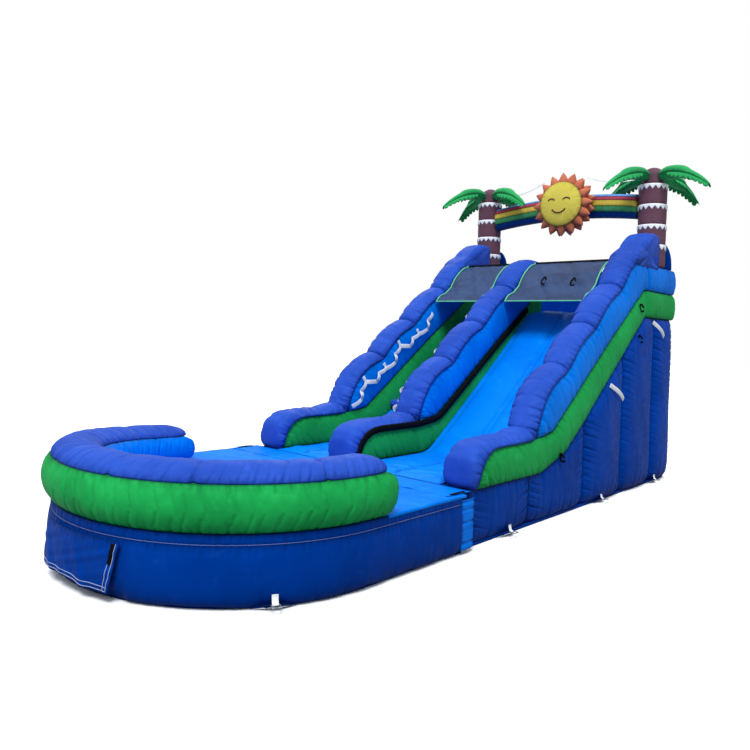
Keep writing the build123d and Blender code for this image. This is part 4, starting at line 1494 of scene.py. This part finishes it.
def sleeve():
    """Inflation sleeve: a cloth tube with a hem, gathered under its tie strap."""
    node = "inflation_sleeve"
    lo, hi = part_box(node)
    middle = ((lo.x + hi.x) / 2, 0, (lo.z + hi.z) / 2)
    radius = (hi.x - lo.x) / 2
    y = np.linspace(lo.y, hi.y, 70)
    strap_y = lo.y + (hi.y - lo.y) * 0.45
    hem_y = hi.y - 0.035

    def shake(angles, row):
        near = abs(y[row] - strap_y)
        fold = gathers(angles * radius, near, 0.003, 0.045, 0.10, 1.0)
        return 0.0015 * ripple(angles * radius, 0.12, 2.0) * (y[row] - lo.y) / (hi.y - lo.y) - fold

    outer = revolve(middle, (0, 1, 0), 0 * y + radius - 0.0005, y, 96, shake)
    inner = revolve(middle, (0, 1, 0), 0 * y + radius - 0.0036, y, 96, shake)
    faces = grid_faces(140, 96, wrap_rows=True, wrap_columns=True)
    piece("inflation_sleeve_cloth", np.concatenate([outer, inner[::-1]]), faces, "sleeve", ROOT, node)
    angles = np.linspace(0, 2 * math.pi, 80)
    ring = np.stack([np.cos(angles), 0 * angles, np.sin(angles)], 1) * (radius + 0.003) + middle
    for name, where, width, look in (
        ("sleeve_tie_strap", strap_y, 0.03, "webbing"),
        ("sleeve_hem", hem_y, 0.006, "thread"),
    ):
        ribbon(name, ring + [0, where, 0], (0, 1, 0), width, look)


sleeve()


def anchors():
    """Vinyl tongue and webbing loop at each ring."""
    t = np.linspace(0, 1, 30)
    wide, reach = 0.16 - 0.115 * t**0.8, -0.060 + 0.058 * t
    across = np.linspace(-1, 1, 15)
    sag = 0.006 * ripple(across * 0.2, 0.13, 1.0)
    turn = np.linspace(0.62 * math.pi, -0.55 * math.pi, 22)
    bar = 0.0075 * np.stack([np.cos(turn), np.sin(turn)], 1)
    top = [(-0.018, 0.060), (-0.018, 0.045), (-0.010, 0.014)]
    low = [(-0.012, -0.010), (-0.030, -0.020), (-0.045, -0.026)]
    strap = np.concatenate([top, bar, low])
    up = np.array([0, 0, 1.0])
    for joint in frame["joints"]:
        if "_ring_" not in joint["name"]:
            continue
        body = ROOT if joint["name"].startswith("slide") else POOL
        node = "slide_anchor_tabs" if body == ROOT else "pool_anchor_tabs"
        pin, tag = np.array(joint["pos_m"]), joint["child"]
        axis = np.array(joint["axis"], float)
        axis /= np.linalg.norm(axis)
        out = np.cross(axis, up)
        rise = ((0.012 - pin[2]) * (1 - t) ** 1.2)[:, None] + sag[None, :] * (1 - t)[:, None]
        grid = spread(wide[:, None] * across, reach[:, None], rise) @ np.array([axis, out, up]) + pin
        pad(f"{tag}_tongue", grid, grid - up * 0.004 - out * 0.002, "deep", body, node)
        path = pin + strap @ np.array([out, up])
        ribbon(f"{tag}_webbing", resample(path, 60, 1), axis, 0.046, "webbing", body)


anchors()

# ---------------------------------------------------------------- inflation


def seam_points(mesh):
    """True for the points that a seam or a hidden inner face holds still."""
    corner = np.empty(len(mesh.loops), dtype=np.int64)
    mesh.loops.foreach_get("vertex_index", corner)
    uv = np.empty(len(mesh.loops) * 2)
    mesh.uv_layers["seam"].data.foreach_get("uv", uv)
    away = np.full(len(mesh.vertices), 9.0)
    away[corner] = uv[1::2]
    return (away < 0.006) | (np.abs(away - 1.0) < 0.001)


def points_of(mesh):
    """Points of a mesh, one a row."""
    flat = np.empty(len(mesh.vertices) * 3)
    mesh.vertices.foreach_get("co", flat)
    return flat.reshape(-1, 3)


def inflate(jobs, frames=20):
    """Blows oversize cloth out between its seams. jobs: (piece, extra cloth, furthest move)."""
    cloth_settings = {
        "quality": 3,
        "tension_stiffness": 30,
        "compression_stiffness": 30,
        "shear_stiffness": 10,
        "bending_stiffness": 0.05,
        "use_pressure": True,
        "uniform_pressure_force": 4,
        "vertex_group_mass": "held",
    }
    for name, extra, _ in jobs:
        obj = bpy.data.objects[name]
        group = obj.vertex_groups.new(name="held")
        group.add(np.where(seam_points(obj.data))[0].tolist(), 1.0, "REPLACE")
        modifier = obj.modifiers.new("inflate", "CLOTH")
        modifier.collision_settings.use_collision = False
        modifier.point_cache.frame_end = frames
        for key, value in cloth_settings.items():
            setattr(modifier.settings, key, value)
        modifier.settings.shrink_min = -extra
        modifier.settings.effector_weights.gravity = 0
    for number in range(1, frames + 1):
        bpy.context.scene.frame_set(number)
    graph = bpy.context.evaluated_depsgraph_get()
    blown = {}
    for name, _, _ in jobs:
        copy = bpy.data.objects[name].evaluated_get(graph)
        blown[name] = points_of(copy.to_mesh())
        copy.to_mesh_clear()
    for name, _, furthest in jobs:
        obj = bpy.data.objects[name]
        before = points_of(obj.data)
        move = blown[name] - before
        size = np.linalg.norm(move, axis=1)
        move *= np.minimum(1, furthest / np.maximum(size, 1e-9))[:, None]
        obj.modifiers.clear()
        obj.vertex_groups.clear()
        obj.data.vertices.foreach_set("co", (before + move).ravel())
        obj.data.update()
    bpy.context.scene.frame_set(1)


def press_back(name, limit, soft=0.015):
    """Keeps a nose behind the plane in which the junction cover stands when it is lifted."""
    mesh = bpy.data.objects[name].data
    points = points_of(mesh)
    points[:, 1] = limit + soft * np.logaddexp(0, (points[:, 1] - limit) / soft)
    mesh.vertices.foreach_set("co", points.astype(np.float32).ravel())
    mesh.update()


padded = [(f"bumper_{part}_skin", 0.04, 0.030) for part in ("outer", "inner", "cap")]
for wall in WALLS:
    padded.append((f"{wall}_cap_skin", 0.04, 0.020))
    padded += [(f"{wall}_{layer}_skin", 0.04, 0.015) for layer in ("tube", "panel")]
padded += [(f"{side}_end_block", 0.03, 0.020) for side in ("left", "right")]
padded += [(f"climb_step_{number}", 0.03, 0.010) for number in range(1, STEPS + 1)]
inflate(padded)
COVER_ROOM = 0.030  # thickness the lifted cover is given
for wall in WALLS:
    press_back(f"{wall}_cap_skin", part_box("junction_cover")[1].y + COVER_ROOM)

# ---------------------------------------------------------------- CAD nodes that stay in sight

for name, obj in frame["nodes"].items():
    look = "steel" if "_ring_" in name else "zip"
    if "_ring_" in name or name in ("pool_zip", "pool_zip_slider", "rear_zip", "rear_zip_slider"):
        obj.data.materials.clear()
        obj.data.materials.append(LOOKS[look][0])

# ---------------------------------------------------------------- floor, light and camera


def stage():
    """Pale floor that runs on under a pale sky."""
    m = Nodes("floor_pale")
    seen = m.add("ShaderNodeLightPath").outputs["Is Camera Ray"]
    pale = m.blend(m.noise(0.8, 4.0), linear("fafafa"), linear("f4f5f6"))
    m.set(Base_Color=m.blend(seen, linear("8c9096"), pale), Roughness=0.95, Specular_IOR_Level=0.0)
    mesh = bpy.data.meshes.new("floor")
    size = 60
    corners = [(x * size, y * size, -0.002) for x, y in ((-1, -1), (1, -1), (1, 1), (-1, 1))]
    mesh.from_pydata(corners, [], [(0, 1, 2, 3)])
    mesh.materials.append(m.material)
    floor = bpy.data.objects.new("floor", mesh)
    bpy.context.scene.collection.objects.link(floor)


def light(name, kind, energy, place, target, size):
    """A sun or a square lamp turned towards a point; size is an angle or a width."""
    data = bpy.data.lights.new(name, kind)
    data.energy = energy
    setattr(data, "size" if kind == "AREA" else "angle", size)
    obj = bpy.data.objects.new(name, data)
    obj.location = place
    obj.rotation_euler = (Vector(target) - Vector(place)).to_track_quat("-Z", "Y").to_euler()
    bpy.context.scene.collection.objects.link(obj)


EYE = Vector((4.741, -4.959, 1.814))


def camera():
    """Eye-height view over the pool's right front, level but for a slight roll."""
    azimuth, elevation, roll = (math.radians(a) for a in (41.97, -0.23, 2.13))
    level = math.cos(elevation)
    back = Vector((math.sin(azimuth) * level, -math.cos(azimuth) * level, math.sin(elevation)))
    right = (-back).cross(Vector((0, 0, 1))).normalized()
    up = right.cross(-back)
    turned = math.cos(roll) * right + math.sin(roll) * up
    over = math.cos(roll) * up - math.sin(roll) * right
    data = bpy.data.cameras.new("camera")
    data.lens = 32.93
    data.sensor_width = 36
    data.shift_y = -0.0579
    obj = bpy.data.objects.new("camera", data)
    basis = Matrix((turned, over, back)).transposed()
    obj.matrix_world = Matrix.Translation(EYE) @ basis.to_4x4()
    bpy.context.scene.collection.objects.link(obj)
    bpy.context.scene.camera = obj


def sky():
    """White to the camera; to the object, a pale dome that dims towards the horizon."""
    world = bpy.data.worlds.new("studio")
    m = Nodes("studio", world)
    background = m.tree.nodes["Background"]
    height = m.split(m.add("ShaderNodeTexCoord").outputs["Generated"])[2]
    dome = m.span(height, 0.20, 1.20, -0.1, 0.9)
    seen = m.add("ShaderNodeLightPath").outputs["Is Camera Ray"]
    m.feed(background.inputs["Color"], m.blend(seen, (0.86, 0.93, 1.0, 1), (1, 1, 1, 1)))
    m.feed(background.inputs["Strength"], m.add("ShaderNodeMix", {0: seen, 2: dome, 3: 1.0}).outputs[0])
    bpy.context.scene.world = world


stage()
LIT = (0.2, 1.0, 1.2)  # where the lamps point
light("key", "SUN", 2.7, (3.0, -3.0, 9.0), LIT, math.radians(24))
light("front_fill", "AREA", 80, (-2.0, -9.0, 6.0), LIT, 6.0)
light("back_fill", "AREA", 80, (-6.0, 8.0, 6.0), LIT, 6.0)
sky()
bpy.context.scene.view_settings.view_transform = "Standard"
camera()
